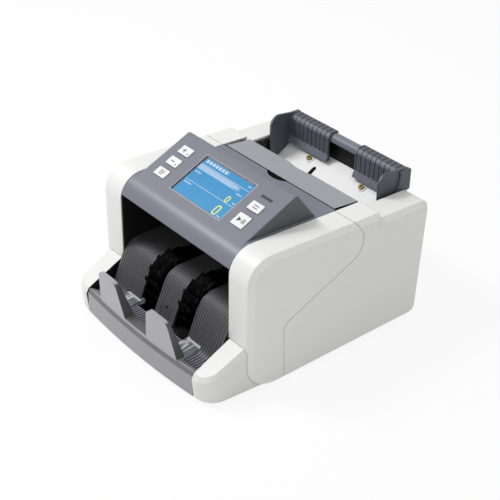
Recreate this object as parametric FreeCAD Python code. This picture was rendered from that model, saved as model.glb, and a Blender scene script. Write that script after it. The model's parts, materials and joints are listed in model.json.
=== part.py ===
import FreeCAD, Part
import math
import os

# Banknote counting machine: X to the right, the front towards -Y, Z up, millimetres.
# The origin lies under the middle of the machine, on the table.

# Overall sizes
INNER_WIDTH = 194.0          # between the two side covers
COVER_WIDTH = 36.0           # one side cover, across
FOOT_HEIGHT = 3.0
WALL = 2.5                   # moulded plastic walls
SHEET = 2.0                  # steel side frames and base
SLIDE_GAP = 0.3              # between moulded pieces that meet but are not joined

# Side covers, along Y and Z
COVER_FRONT = -104.5
COVER_REAR = 144.0           # rear line of the frame
COVER_TAIL = 4.0             # the covers' foot reaches this far behind it
COVER_REAR_LEAN = 6.5        # the rear edge leans back by this much
COVER_TOP = 161.0            # highest line, over the panel
COVER_TOP_FALL = 6.0         # fall of the top line from the panel to the step
COVER_CREST = -70.0          # where the top line begins to fall
COVER_STEP = 78.0            # where the top drops to the hopper
COVER_STEP_DROP = 7.5
COVER_REAR_FALL = 2.5
COVER_FRONT_ROUND = 28.0
COVER_FOOT_ROUND = 36.0
COVER_REAR_ROUND = 14.0
COVER_TAIL_ROUND = 10.0
COVER_BEVEL = 6.0
SEAM_GAP = 0.5
SEAM_TOP = 37.0              # the seam's place on the top line
SEAM_HIGH_KNEE = (63.0, 125.0)
SEAM_LOW_KNEE = (-59.5, 71.5)
SEAM_FOOT = -55.5
SEAM_HIGH_ROUND = 24.0
SEAM_LOW_ROUND = 14.0

# Low fenders beside the tray
FENDER_FRONT = -156.0
FENDER_NOSE_HEIGHT = 31.0
FENDER_REAR_HEIGHT = 56.0    # where it meets the side cover
FENDER_WIDTH = 30.0
FENDER_GAP = 2.0             # the inner face stands this far outside the covers' inner side
FENDER_INSET = 3.0           # how much narrower the nose is, and how far its foot stands back
FENDER_ROUND = 22.0          # of the nose, seen from above
FENDER_BEVEL = 4.5

# Front plate and its two prongs
PLATE_FRONT = -159.0         # middle of the bowed front
PLATE_BOW = 5.0
PLATE_DEPTH = 16.0
PLATE_HEIGHT = 30.0
PLATE_BEVEL_HEIGHT = 6.0
PLATE_BEVEL_DEPTH = 3.0
PRONG_PLACE = 46.0           # each side of the middle
PRONG_FOOT_WIDTH = 52.0
PRONG_TOP_WIDTH = 34.0
PRONG_TOP = 79.0
PRONG_ROUND = 9.0
PRONG_FOOT_DEPTH = 9.0
PRONG_TOP_DEPTH = 3.5
PRONG_LEAN = 6.0             # the top stands this much ahead of the foot
PRONG_WALL = 4.0             # height of the low wall between the prongs

# Stacker: ribbed plate, tray floor and impellers
TRAY_FLOOR = 28.0
STACKER_TOP = 80.0
STACKER_REAR = -36.0
STACKER_BROW = -98.5         # the plate's bend from the top to the front slope
STACKER_TOE = -120.5         # the bend from the slope to the tray floor
STACKER_BROW_ROUND = 24.0
STACKER_TOE_ROUND = 12.0
STACKER_RIB_PITCH = 3.8
STACKER_RIB_WIDTH = 1.2
STACKER_RIB_HEIGHT = 0.5
IMPELLER_PLACE = 31.0        # each side of the middle
IMPELLER_SLOT = 28.0
IMPELLER_SLOT_TOE = 4.0      # the slot runs on into the tray floor by this much
IMPELLER_WIDTH = 25.0
IMPELLER_AXIS = (-78.0, 49.0)
IMPELLER_RADIUS = 36.5
IMPELLER_HUB_RADIUS = 12.0
IMPELLER_CORE_RADIUS = 15.0
PETALS = 16
PETAL_THICKNESS = 1.3
PETAL_SWEEP = 68.0           # degrees the tip trails round from the root
SENSOR_SPOT = 16.0           # bare patch with a sensor hole on the middle of the plate
WINDOW_WIDTH = 24.0
WINDOW_DEPTH = 27.0
WINDOW_PLACE = 56.0
WINDOW_FRONT = -139.5
WINDOW_RISE = 3.0

# Control panel
HOOD_FRONT = -106.5
HOOD_LIP = 140.6
HOOD_REAR = 43.0
HOOD_CRACK = 0.6             # between the hood and each side cover
PANEL_MARGIN = 4.0           # hood showing at each side of the panel
PANEL_TILT = 24.1
PANEL_TOP = 192.0
PANEL_TOP_PLACE = -10.7
PANEL_TOP_ROUND = 4.0
PANEL_BACK_FOOT = 18.0
DISPLAY_CENTRE = (0.5, -42.5)
DISPLAY_SIZE = (85.0, 56.0)
DISPLAY_SHOULDER = 1.0
DISPLAY_CORNER = 2.0
GLASS = 1.2
GLASS_SINK = 0.5
BUTTON_SIZE = (18.0, 11.5)
TALL_BUTTON = 16.5
BUTTON_LEFT_INSET = 24.0     # middle of each column of keys from the panel's side
BUTTON_RIGHT_INSET = 26.7
BUTTON_LEFT_TOP = -24.3
BUTTON_PITCH = 18.5
BUTTON_RIGHT_UPPER = -36.7
BUTTON_RIGHT_LOWER = -58.3
BUTTON_RISE = 1.4
BUTTON_GAP = 0.35
BUTTON_TRAVEL = 1.0
BUTTON_FLANGE = 1.2
LABEL_SIZE = (17.0, 3.3)
LABEL_STEP = (0.7, 15.5)     # from the upper right key to the recess over it
LABEL_DEPTH = 0.6
FINGER_NOTCH = (36.0, 8.0)
BUTTON_CORNER = 0.8
DISPLAY_DEPTH = 6.0
GLASS_GAP = 0.2
SWITCH = 6.0
SWITCH_HEIGHT = 3.5
BOARD = 1.6
BOARD_MARGIN = 7.0
POST_RADIUS = 2.5

# Frames, shafts and their bearings
FRAME_LAP = 1.0              # the frames and base stay this much inside the covers' outline
SHAFT_RADIUS = 4.0
BEARING_RADIUS = 8.0
BEARING_WIDTH = 5.0
BEARING_PLAY = 0.05
FEED_AXIS = (45.0, 84.0)
PICKUP_AXIS = (92.0, 97.5)
COUNTER_AXIS = (47.0, 118.0)
MOTOR_AXIS = (95.0, 42.0)
MOTOR_SPIGOT = 7.0
HINGE_AXIS = (67.0, 145.0)
HINGE_PIN = 2.0
HINGE_EAR = 6.0
FOOT_RADIUS = 9.0
FOOT_SCREW = 2.5
IMPELLER_GAP = 2.0
SHAFT_AXES = [IMPELLER_AXIS, FEED_AXIS, PICKUP_AXIS, COUNTER_AXIS]
UPPER_TIE = (-20.0, 128.0)
REAR_TIE = (130.0, 70.0)
LOWER_TIE = (-45.0, 14.0)
TIE_AXES = [UPPER_TIE, REAR_TIE, LOWER_TIE]
TIE_RADIUS = 4.0
SCREW_RADIUS = 1.8
SCREW_HEAD = 3.6
HEAD_RISE = 1.8

# Service flap
FLAP_GAP = 0.5
FLAP_SIDE_GAP = 2.5
FLAP_LIP = 7.0               # stiffening lip under the front edge
FLAP_REAR = 79.0
FLAP_FALL = 3.5
FLAP_NOTCH = (40.0, 3.0)

# Hopper, rail and note guides
HOPPER_REAR = 150.0
HOPPER_BACK_HEIGHT = 133.5
HOPPER_BEND = 118.0
HOPPER_BEND_HEIGHT = 115.0
HOPPER_BEND_ROUND = 25.0
HOPPER_FRONT = 68.0
HOPPER_FRONT_HEIGHT = 107.0
HOPPER_SCREW_X = 45.0        # each side of a line just left of the middle
HOPPER_SCREW_SHIFT = -4.2
HOPPER_SCREW_Y = 137.0
HOPPER_SLOT = (3.4, 11.0)    # sensor slot, across and along
HOPPER_SLOT_PLACE = (-33.0, 126.0)
BOSS_RADIUS = 6.0
BOSS_RISE = 1.0
RAIL_FRONT = 144.0
RAIL_DEPTH = 10.0
RAIL_RISE = 17.0             # underside of the rail over the foot of the guides' ribbed backs
RAIL_HEIGHT = 8.5
RAIL_ROUND = 6.0             # front edge of the rail's top
BRACKET_OVERHANG = 14.0
GUIDE_REACH = 70.0
GUIDE_WALL = 2.5
GUIDE_FRONT = 110.0
GUIDE_RISE = 4.2             # underside of the lip over the hopper screws
GUIDE_LIP = 8.0
GUIDE_FLARE = 6.5            # reach of the lip to the front
GUIDE_LIFT = 3.0
GUIDE_CAP = 1.5
GUIDE_CREST = 6.0            # rise of the side wall towards the front
GUIDE_ROUND = 12.0
GUIDE_RIB = 0.6
GUIDE_RIB_WIDTH = 1.8
GUIDE_RIB_PITCH = 7.4

# Rollers
FEED_RADIUS = 20.0
PICKUP_RADIUS = 15.0
COUNTER_RADIUS = 13.0
PICKUP_PLACES = [-40.0, 40.0]
FEED_PLACES = [-62.0, -20.0, 20.0, 62.0]
COUNTER_PLACES = [-20.0, 20.0]
PICKUP_WIDTH = 22.0
FEED_WIDTH = 20.0
ROLLER_GAP = 1.5

# Motor, pulleys and belts
MOTOR_RADIUS = 24.0
MOTOR_LENGTH = 58.0
MOTOR_WALL = 7.0             # can and magnets
MOTOR_SHAFT = 3.0
ARMATURE_GAP = 1.0
MOTOR_PULLEY = 9.0
FEED_LARGE_PULLEY = 18.0
FEED_SMALL_PULLEY = 12.0
PICKUP_PULLEY = 12.0
IMPELLER_PULLEY = 18.0
BELT = 1.5
BELT_GAP = 0.3
BELT_WIDTH = 5.0
LANE_GAP = 1.5

# Note sensors and exit chute
SENSOR_FRONT = 7.0
SENSOR_DEPTH = 15.0
SENSOR_LOWER = 94.0
SENSOR_GAP = 5.0             # height of the passage for the notes
SENSOR_HEIGHT = 13.0
CHUTE_REAR = 5.0
CHUTE_BEND = -16.0
CHUTE_ROUND = 10.0
CHUTE_MOUTH = 5.0

# Circuit boards, as x and y limits
MAIN_BOARD = (-80.0, 25.0, -25.0, 60.0)
SUPPLY_BOARD = (-85.0, -10.0, 80.0, 138.0)
STANDOFF = 8.0
CHIPS = 3
CHIP_HEIGHT = 4.0
SUPPLY_HEIGHT = 28.0

# Back panel
REAR_DROP = 7.5              # top of the back panel under the hopper floor's back edge
VENTS = 12
VENT_PLACE = -30.0
VENT_WIDTH = 3.0
VENT_BOTTOM = 75.0
VENT_HEIGHT = 30.0
POWER_HEIGHT = 40.0
INLET_INSET = 35.0           # from the left side cover
SWITCH_STEP = 37.0           # from the inlet to the switch
INLET_SIZE = (27.5, 20.0)
INLET_DEPTH = 18.0
INLET_PIN_PITCH = 7.0
SWITCH_SIZE = (15.0, 21.0)
ROCKER_DEPTH = 4.0
ROCKER_PIN = 1.2
ROCKER_SIDE = 0.6


def corner_arc(before, corner, after, radius):
    """Start, middle and end of the arc that rounds one corner of an outline."""
    to_before = (before - corner).normalize()
    to_after = (after - corner).normalize()
    half = to_before.getAngle(to_after) / 2
    reach = radius / math.tan(half)
    bisector = (to_before + to_after).normalize()
    centre = corner + bisector * (radius / math.sin(half))
    return corner + to_before * reach, centre - bisector * radius, corner + to_after * reach


def outline(corners, lay):
    """Closed face through (u, v) or (u, v, radius) corners, laid in space by lay."""
    flat = [FreeCAD.Vector(c[0], c[1], 0) for c in corners]
    radii = [c[2] if len(c) > 2 else 0 for c in corners]
    stations = []
    for i, radius in enumerate(radii):
        if radius:
            stations.append(corner_arc(flat[i - 1], flat[i], flat[(i + 1) % len(flat)], radius))
        else:
            stations.append((flat[i],))
    edges = []
    for i, station in enumerate(stations):
        placed = [lay(p.x, p.y) for p in station]
        if len(placed) == 3:
            edges.append(Part.Arc(*placed).toShape())
        first = stations[(i + 1) % len(stations)][0]
        following = lay(first.x, first.y)
        if placed[-1].distanceToPoint(following) > 1e-6:
            edges.append(Part.makeLine(placed[-1], following))
    return Part.Face(Part.Wire(edges))


def side_prism(corners, x0, x1):
    """Prism across the machine from a (y, z) outline."""
    face = outline(corners, lambda y, z: FreeCAD.Vector(x0, y, z))
    return face.extrude(FreeCAD.Vector(x1 - x0, 0, 0))


def plan_prism(corners, z0, z1, lean=0):
    """Prism from an (x, y) outline, upright or leaning towards the front."""
    face = outline(corners, lambda x, y: FreeCAD.Vector(x, y, z0))
    return face.extrude(FreeCAD.Vector(0, -lean, z1 - z0))


def front_prism(corners, y0, y1):
    """Prism from front to back from an (x, z) outline."""
    face = outline(corners, lambda x, z: FreeCAD.Vector(x, y0, z))
    return face.extrude(FreeCAD.Vector(0, y1 - y0, 0))


def block(x0, x1, y0, y1, z0, z1):
    return Part.makeBox(x1 - x0, y1 - y0, z1 - z0, FreeCAD.Vector(x0, y0, z0))


def rod(x0, x1, axis, radius):
    """Round bar across the machine about a (y, z) axis."""
    return Part.makeCylinder(radius, x1 - x0, FreeCAD.Vector(x0, *axis), FreeCAD.Vector(1, 0, 0))


def ring(x0, x1, axis, radius, bore):
    return rod(x0, x1, axis, radius).cut(rod(x0, x1, axis, bore))


def pillar(x, y, z0, z1, radius):
    return Part.makeCylinder(radius, z1 - z0, FreeCAD.Vector(x, y, z0))


def joined(shapes):
    """One solid out of touching or overlapping solids."""
    first, *rest = shapes
    return first.fuse(rest).removeSplitter()


def mirrored(shape):
    """The same piece on the left side."""
    return shape.mirror(FreeCAD.Vector(0, 0, 0), FreeCAD.Vector(1, 0, 0))


def both_sides(shape):
    """A right-hand piece and its mirror image, as two solids of one node."""
    return Part.Compound([shape, mirrored(shape)])


def save(name, shape):
    """Writes one node, moved so that the origin is under the middle of the machine."""
    moved = shape.copy()
    moved.translate(FreeCAD.Vector(0, -MIDDLE_Y, 0))
    moved.exportStep("parts/" + name + ".step")


def save_pair(name, shape):
    """A right-hand piece and its mirror image on the left."""
    save("right_" + name, shape)
    save("left_" + name, mirrored(shape))


INNER_HALF = INNER_WIDTH / 2
COVER_OUTSIDE = INNER_HALF + COVER_WIDTH
FLOOR = FOOT_HEIGHT
FRAME_INSIDE = INNER_HALF - SHEET
PANEL_HALF_WIDTH = INNER_HALF - PANEL_MARGIN
BUTTON_LEFT = BUTTON_LEFT_INSET - PANEL_HALF_WIDTH
BUTTON_RIGHT = PANEL_HALF_WIDTH - BUTTON_RIGHT_INSET
LABEL_PLACE = (BUTTON_RIGHT + LABEL_STEP[0], BUTTON_RIGHT_UPPER + LABEL_STEP[1])
INLET_PLACE = (INLET_INSET - INNER_HALF, POWER_HEIGHT)
SWITCH_PLACE = (INLET_PLACE[0] + SWITCH_STEP, POWER_HEIGHT)
HOPPER_SHARE = (HOPPER_SCREW_Y - HOPPER_BEND) / (HOPPER_REAR - HOPPER_BEND)
HOPPER_SCREW_HEIGHT = HOPPER_BEND_HEIGHT + HOPPER_SHARE * (HOPPER_BACK_HEIGHT - HOPPER_BEND_HEIGHT)
GUIDE_FOOT = HOPPER_SCREW_HEIGHT + BOSS_RISE + HEAD_RISE + GUIDE_RISE + GUIDE_LIP
RAIL_BOTTOM = GUIDE_FOOT + RAIL_RISE
REAR_TOP = HOPPER_BACK_HEIGHT - REAR_DROP


def cover_outline(inset):
    """Side view of a side cover before its foot is cut level, drawn in by a wall's thickness."""
    step_top = COVER_TOP - COVER_TOP_FALL
    hopper_top = step_top - COVER_STEP_DROP
    foot = FLOOR - COVER_BEVEL + inset
    rear = COVER_REAR + COVER_TAIL
    return [
        (COVER_FRONT + inset, foot, COVER_FOOT_ROUND - inset),
        (rear - inset, foot, COVER_REAR_ROUND - inset),
        (rear + COVER_REAR_LEAN - inset, hopper_top - COVER_REAR_FALL - inset,
         COVER_TAIL_ROUND - inset),
        (COVER_STEP - inset, hopper_top - inset),
        (COVER_STEP - inset, step_top - inset),
        (COVER_CREST, COVER_TOP - inset),
        (COVER_FRONT + inset, COVER_TOP - inset, COVER_FRONT_ROUND - inset),
    ]


def cover_prism(inset, x0, x1, floor):
    """Cover-shaped solid that stands on a level floor."""
    solid = side_prism(cover_outline(inset), x0, x1)
    return solid.cut(below(floor))


def below(level):
    """Everything under a level, over the whole machine."""
    return block(-COVER_OUTSIDE, COVER_OUTSIDE, PLATE_FRONT, COVER_REAR + COVER_WIDTH, -COVER_TOP, level)


def cover_block():
    """Solid form of the right side cover, with its outer edge bevelled."""
    solid = side_prism(cover_outline(0), INNER_HALF, COVER_OUTSIDE)
    rim = [e for e in solid.Edges if e.BoundBox.XMin > COVER_OUTSIDE - 1e-6]
    return solid.makeChamfer(COVER_BEVEL, rim).cut(below(FLOOR))


def seam_block(shift):
    """Everything ahead of the seam, moved back and down by shift."""
    high_y, high_z = SEAM_HIGH_KNEE
    low_y, low_z = SEAM_LOW_KNEE
    above = COVER_TOP + COVER_WIDTH
    ahead = COVER_FRONT - COVER_WIDTH
    below = -COVER_WIDTH
    corners = [(SEAM_FOOT + shift, below), (low_y + shift, low_z - shift, SEAM_LOW_ROUND),
               (high_y + shift, high_z - shift, SEAM_HIGH_ROUND), (SEAM_TOP + shift, COVER_TOP),
               (SEAM_TOP + shift, above), (ahead, above), (ahead, below)]
    return side_prism(corners, INNER_HALF - 1, COVER_OUTSIDE + 1)


def side_covers():
    """Front and rear shell of the right side cover, open towards the frame."""
    hollow = cover_prism(WALL, INNER_HALF - WALL, COVER_OUTSIDE - COVER_BEVEL - WALL, FLOOR + WALL)
    deep = cover_prism(COVER_BEVEL + WALL, INNER_HALF - WALL, COVER_OUTSIDE - WALL, FLOOR + WALL)
    shell = cover_block().cut([hollow, deep])
    front = shell.common(seam_block(0))
    rear = shell.cut([seam_block(0), seam_block(SEAM_GAP)])
    return front, rear


def fender_block(inset):
    """Low body beside the tray with a round nose, drawn in by a wall's thickness."""
    inside = INNER_HALF + FENDER_GAP + inset
    outside = INNER_HALF + FENDER_WIDTH - inset
    foot = FLOOR - inset
    top = FENDER_REAR_HEIGHT + FENDER_WIDTH
    lean = FENDER_INSET * (top - foot) / (FENDER_NOSE_HEIGHT - FLOOR)
    front = FENDER_FRONT + FENDER_INSET + inset
    rear = COVER_FRONT + COVER_FOOT_ROUND
    plan = [(inside, front), (inside, rear), (outside + FENDER_INSET, rear),
            (outside - FENDER_INSET, front, FENDER_ROUND - inset)]
    slope = (FENDER_REAR_HEIGHT - FENDER_NOSE_HEIGHT) / (COVER_FRONT - FENDER_FRONT)
    ahead = FENDER_FRONT - FENDER_WIDTH
    nose = FENDER_NOSE_HEIGHT - inset - slope * FENDER_WIDTH
    tail = FENDER_REAR_HEIGHT - inset + slope * COVER_FOOT_ROUND
    above = side_prism([(ahead, nose), (rear, tail), (rear, top), (ahead, top)], inside - 1,
                       outside + FENDER_WIDTH)
    solid = plan_prism(plan, foot, top, lean).cut(above)
    rim = []
    for edge in solid.Edges:
        box = edge.BoundBox
        on_top = all(abs(v.Z - nose - slope * (v.Y - ahead)) < 1e-4 for v in edge.Vertexes)
        if on_top and box.XMax > inside + 1e-3 and box.YMin < COVER_FRONT:
            rim.append(edge)
    return solid.makeChamfer(FENDER_BEVEL, rim)


def fender():
    shell = fender_block(0).cut(fender_block(WALL))
    ahead = cover_block().translated(FreeCAD.Vector(0, -SLIDE_GAP, 0))
    behind = block(INNER_HALF - 1, COVER_OUTSIDE + 1, COVER_FRONT + COVER_FOOT_ROUND / 2, COVER_REAR,
                   FLOOR - 1, COVER_TOP)
    return shell.cut([ahead, cover_block(), behind])


def bowed_face(half, middle, bow, depth, z):
    """Level face with a bowed front edge and a straight rear edge."""
    end = middle + bow
    rear = end + depth
    front = [FreeCAD.Vector(-half, end, z), FreeCAD.Vector(0, middle, z), FreeCAD.Vector(half, end, z)]
    back = [FreeCAD.Vector(half, rear, z), FreeCAD.Vector(-half, rear, z)]
    edges = [Part.Arc(*front).toShape(), Part.makeLine(front[2], back[0]), Part.makeLine(*back),
             Part.makeLine(back[1], front[0])]
    return Part.Face(Part.Wire(edges))


def prong_wall(half):
    """Two rounded prongs, leaning outwards, that rise from a low wall between them."""
    foot = FLOOR + PLATE_HEIGHT - PLATE_BEVEL_DEPTH
    middle = PLATE_FRONT + PLATE_BEVEL_DEPTH
    slab = bowed_face(half, middle, PLATE_BOW, PRONG_FOOT_DEPTH, foot)
    slab = slab.extrude(FreeCAD.Vector(0, -PRONG_LEAN, PRONG_TOP - foot))
    inner = PRONG_PLACE - PRONG_FOOT_WIDTH / 2
    ridge = FLOOR + PLATE_HEIGHT + PRONG_WALL
    right = [(inner, ridge), (PRONG_PLACE - PRONG_TOP_WIDTH / 2, PRONG_TOP, PRONG_ROUND),
             (PRONG_PLACE + PRONG_TOP_WIDTH / 2, PRONG_TOP, PRONG_ROUND),
             (PRONG_PLACE + PRONG_FOOT_WIDTH / 2, foot)]
    left = [(-x, *rest) for x, *rest in right[::-1]]
    face = front_prism(left + right, PLATE_FRONT - PRONG_LEAN, PLATE_FRONT + 2 * PLATE_DEPTH)
    rear_foot = middle + PLATE_BOW + PRONG_FOOT_DEPTH
    rear_top = middle - PRONG_LEAN + PRONG_TOP_DEPTH + PLATE_BOW / 2
    behind = side_prism([(rear_foot, foot), (rear_foot + PLATE_DEPTH, foot),
                         (rear_foot + PLATE_DEPTH, PRONG_TOP), (rear_top, PRONG_TOP)], -half, half)
    return slab.common(face).cut(behind)


def front_plate():
    """Bowed plate across the front of the tray, with two prongs that stop the notes."""
    half = INNER_HALF + FENDER_GAP - SLIDE_GAP
    end = PLATE_FRONT + PLATE_BOW
    rear = plate_rear()
    top = FLOOR + PLATE_HEIGHT
    face = bowed_face(half, PLATE_FRONT, PLATE_BOW, PLATE_DEPTH - PLATE_BOW, FLOOR)
    bar = face.extrude(FreeCAD.Vector(0, 0, PLATE_HEIGHT))
    lip = [e for e in bar.Edges if e.BoundBox.ZMin > top - 1e-6 and e.BoundBox.YMax < end + 1e-3]
    bar = bar.makeChamfer(PLATE_BEVEL_HEIGHT, PLATE_BEVEL_DEPTH, lip)
    crest = end + PLATE_BEVEL_DEPTH
    valley = side_prism([(crest, top), (rear, TRAY_FLOOR), (rear, top)], -half, half)
    hollow = block(-half + WALL, half - WALL, end + WALL, rear - WALL, FLOOR - 1, TRAY_FLOOR - WALL)
    return joined([bar.cut([valley, hollow]), prong_wall(half)])


def plate_rear():
    return PLATE_FRONT + PLATE_DEPTH


def side_frame():
    """Steel plate that carries every shaft; the side cover closes on it."""
    front = COVER_FRONT + FRAME_LAP
    rear = COVER_REAR - FRAME_LAP
    hinge_y, hinge_z = HINGE_AXIS
    corners = [
        (front, FLOOR, COVER_FOOT_ROUND / 2),
        (rear, FLOOR, COVER_REAR_ROUND / 2),
        (rear, HOOD_LIP),
        (hinge_y + HINGE_EAR, HOOD_LIP),
        (hinge_y + HINGE_EAR, hinge_z + HINGE_EAR, HINGE_EAR / 2),
        (hinge_y - HINGE_EAR, hinge_z + HINGE_EAR, HINGE_EAR / 2),
        (hinge_y - HINGE_EAR, HOOD_LIP),
        (front, HOOD_LIP),
    ]
    plate = side_prism(corners, FRAME_INSIDE, INNER_HALF)
    holes = [rod(FRAME_INSIDE - 1, INNER_HALF + 1, axis, BEARING_RADIUS) for axis in SHAFT_AXES]
    holes.append(rod(FRAME_INSIDE - 1, INNER_HALF + 1, MOTOR_AXIS, MOTOR_SPIGOT + SLIDE_GAP))
    holes.append(rod(FRAME_INSIDE - 1, INNER_HALF + 1, HINGE_AXIS, HINGE_PIN))
    return plate.cut(holes)


def base_pan():
    """Steel floor between the side frames, with a screw hole over each foot."""
    pan = block(-FRAME_INSIDE, FRAME_INSIDE, plate_rear(), COVER_REAR - FRAME_LAP,
                FLOOR, FLOOR + SHEET)
    return pan.cut([pillar(x, y, 0, FLOOR + 2 * SHEET, FOOT_SCREW) for x, y in foot_places()])


def foot_places():
    front = plate_rear() + 1.5 * FOOT_RADIUS
    rear = COVER_REAR - FRAME_LAP - 1.5 * FOOT_RADIUS
    side = FRAME_INSIDE - 1.5 * FOOT_RADIUS
    return [(x, y) for x in (-side, side) for y in (front, rear)]


def rubber_feet():
    feet = []
    for x, y in foot_places():
        pad = pillar(x, y, 0, FLOOR, FOOT_RADIUS)
        stud = pillar(x, y, FLOOR, FLOOR + SHEET, FOOT_SCREW)
        feet.append(joined([pad, stud]))
    return Part.Compound(feet)


def stacker_outline(lift):
    """Side view of the stacker plate's upper surface, raised by lift."""
    brow = STACKER_BROW - lift / 2
    toe = STACKER_TOE - lift / 2
    top = STACKER_TOP + lift
    floor = TRAY_FLOOR + lift
    front = plate_rear()
    return [(STACKER_REAR, top), (brow, top, STACKER_BROW_ROUND + lift),
            (toe, floor, STACKER_TOE_ROUND - lift), (front, floor)]


def stacker_sheet(lift, depth, x0, x1):
    """A strip of plate from x0 to x1 between two depths of the stacker's outline."""
    upper = stacker_outline(lift)
    lower = stacker_outline(lift - depth)[::-1]
    return side_prism(upper + lower, x0, x1)


def rib_outline():
    """Side view of one rib, which rises slowly out of the flat top at the brow."""
    fade = (STACKER_BROW + STACKER_BROW_ROUND, STACKER_TOP)
    buried = (fade[0], STACKER_TOP - STACKER_RIB_HEIGHT)
    upper = stacker_outline(STACKER_RIB_HEIGHT)[1:]
    lower = stacker_outline(-STACKER_RIB_HEIGHT)[:0:-1]
    return [fade] + upper + lower + [buried]


def stacker_plate():
    """Ribbed moulding that the notes lean on, with a slot for each impeller."""
    half = FRAME_INSIDE
    sheet = stacker_sheet(0, WALL, -half, half)
    wide = INNER_HALF - SLIDE_GAP
    ahead = block(-wide, wide, plate_rear(), COVER_FRONT - SLIDE_GAP, 0, STACKER_TOP)
    sheet = sheet.fuse(stacker_sheet(0, WALL, -wide, wide).common(ahead))
    ribs = []
    for i in range(int(half / STACKER_RIB_PITCH)):
        for x in {i * STACKER_RIB_PITCH, -i * STACKER_RIB_PITCH}:
            ribs.append(side_prism(rib_outline(), x - STACKER_RIB_WIDTH / 2, x + STACKER_RIB_WIDTH / 2))
    plate = sheet.fuse(ribs)
    half_spot = SENSOR_SPOT / 2
    bare = block(-half_spot, half_spot, STACKER_TOE - half_spot, STACKER_BROW, TRAY_FLOOR + WALL,
                 TRAY_FLOOR + WALL + SENSOR_SPOT).cut(sheet)
    spot = FreeCAD.Vector(0, STACKER_TOE, TRAY_FLOOR + SENSOR_SPOT)
    hole = Part.makeCylinder(SCREW_RADIUS, SENSOR_SPOT, spot, FreeCAD.Vector(0, 1, 0))
    cuts = [bare, hole]
    rear = IMPELLER_AXIS[0] + IMPELLER_RADIUS + IMPELLER_GAP
    clear = IMPELLER_AXIS[0] - IMPELLER_RADIUS - IMPELLER_GAP
    front = min(clear, STACKER_TOE - IMPELLER_SLOT_TOE)
    for side in (-1, 1):
        middle = side * IMPELLER_PLACE
        cuts.append(block(middle - IMPELLER_SLOT / 2, middle + IMPELLER_SLOT / 2, front, rear,
                          FLOOR, STACKER_TOP + WALL))
        cuts.append(window_block(side, SLIDE_GAP / 2))
    return plate.cut(cuts).removeSplitter()


def window_block(side, gap):
    """Room for a clear sensor window in the tray floor."""
    middle = side * WINDOW_PLACE
    half = WINDOW_WIDTH / 2 + gap
    return block(middle - half, middle + half, WINDOW_FRONT - gap, WINDOW_FRONT + WINDOW_DEPTH + gap,
                 TRAY_FLOOR - WALL - gap, TRAY_FLOOR + WALL + WINDOW_RISE)


def sensor_window():
    """Clear wedge in the tray floor over the stacker's light sensor."""
    low = TRAY_FLOOR - WALL
    high = TRAY_FLOOR + WINDOW_RISE
    rear = WINDOW_FRONT + WINDOW_DEPTH
    corners = [(WINDOW_FRONT, low), (rear, low), (rear, high),
               (WINDOW_FRONT + WINDOW_DEPTH / 2, high), (WINDOW_FRONT, TRAY_FLOOR)]
    return side_prism(corners, WINDOW_PLACE - WINDOW_WIDTH / 2, WINDOW_PLACE + WINDOW_WIDTH / 2)


def impeller_span(side):
    middle = side * IMPELLER_PLACE
    return middle - IMPELLER_WIDTH / 2, middle + IMPELLER_WIDTH / 2


def impeller_hub():
    x0, x1 = impeller_span(1)
    return ring(x0, x1, IMPELLER_AXIS, IMPELLER_HUB_RADIUS, SHAFT_RADIUS)


def petal_spot(radius, turn, back):
    """Point on a petal's leading side, or some thicknesses back from it."""
    turn -= back * PETAL_THICKNESS / radius
    y, z = IMPELLER_AXIS
    return FreeCAD.Vector(0, y + radius * math.sin(turn), z + radius * math.cos(turn))


def impeller_petals(side):
    """Rubber ring with soft curved petals all pointing the same way round."""
    x0, x1 = impeller_span(side)
    step = 2 * math.pi / PETALS
    sweep = math.radians(PETAL_SWEEP)
    stations = [(IMPELLER_CORE_RADIUS, 0), ((IMPELLER_CORE_RADIUS + IMPELLER_RADIUS) / 2, sweep / 2),
                (IMPELLER_RADIUS, sweep)]
    edges = []
    for i in range(PETALS):
        rear = [petal_spot(radius, i * step + turn, 1) for radius, turn in stations]
        lead = [petal_spot(radius, i * step + turn, 0) for radius, turn in stations]
        between = petal_spot(IMPELLER_CORE_RADIUS, (i + 0.5) * step, 0.5)
        following = petal_spot(IMPELLER_CORE_RADIUS, (i + 1) * step, 1)
        edges.append(Part.Arc(*rear).toShape())
        edges.append(Part.makeLine(rear[2], lead[2]))
        edges.append(Part.Arc(*lead[::-1]).toShape())
        edges.append(Part.Arc(lead[0], between, following).toShape())
    flower = Part.Face(Part.Wire(edges)).extrude(FreeCAD.Vector(x1 - x0, 0, 0))
    flower.translate(FreeCAD.Vector(x0, 0, 0))
    return flower.cut(rod(x0 - 1, x1 + 1, IMPELLER_AXIS, IMPELLER_HUB_RADIUS))


def on_panel(shape):
    """Moves a piece drawn flat (x, up the slope, out of the panel) onto the panel."""
    moved = shape.copy()
    moved.rotate(FreeCAD.Vector(), FreeCAD.Vector(1, 0, 0), PANEL_TILT)
    moved.translate(FreeCAD.Vector(0, PANEL_TOP_PLACE, PANEL_TOP))
    return moved


def panel_slab(centre, size, low, high, corner):
    """Rounded flat block on the panel, between two heights over its surface."""
    x, t = centre
    half_x, half_t = size[0] / 2, size[1] / 2
    corners = [(x - half_x, t - half_t, corner), (x + half_x, t - half_t, corner),
               (x + half_x, t + half_t, corner), (x - half_x, t + half_t, corner)]
    return on_panel(plan_prism(corners, low, high))


def grown(size, margin):
    return size[0] + 2 * margin, size[1] + 2 * margin


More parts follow.
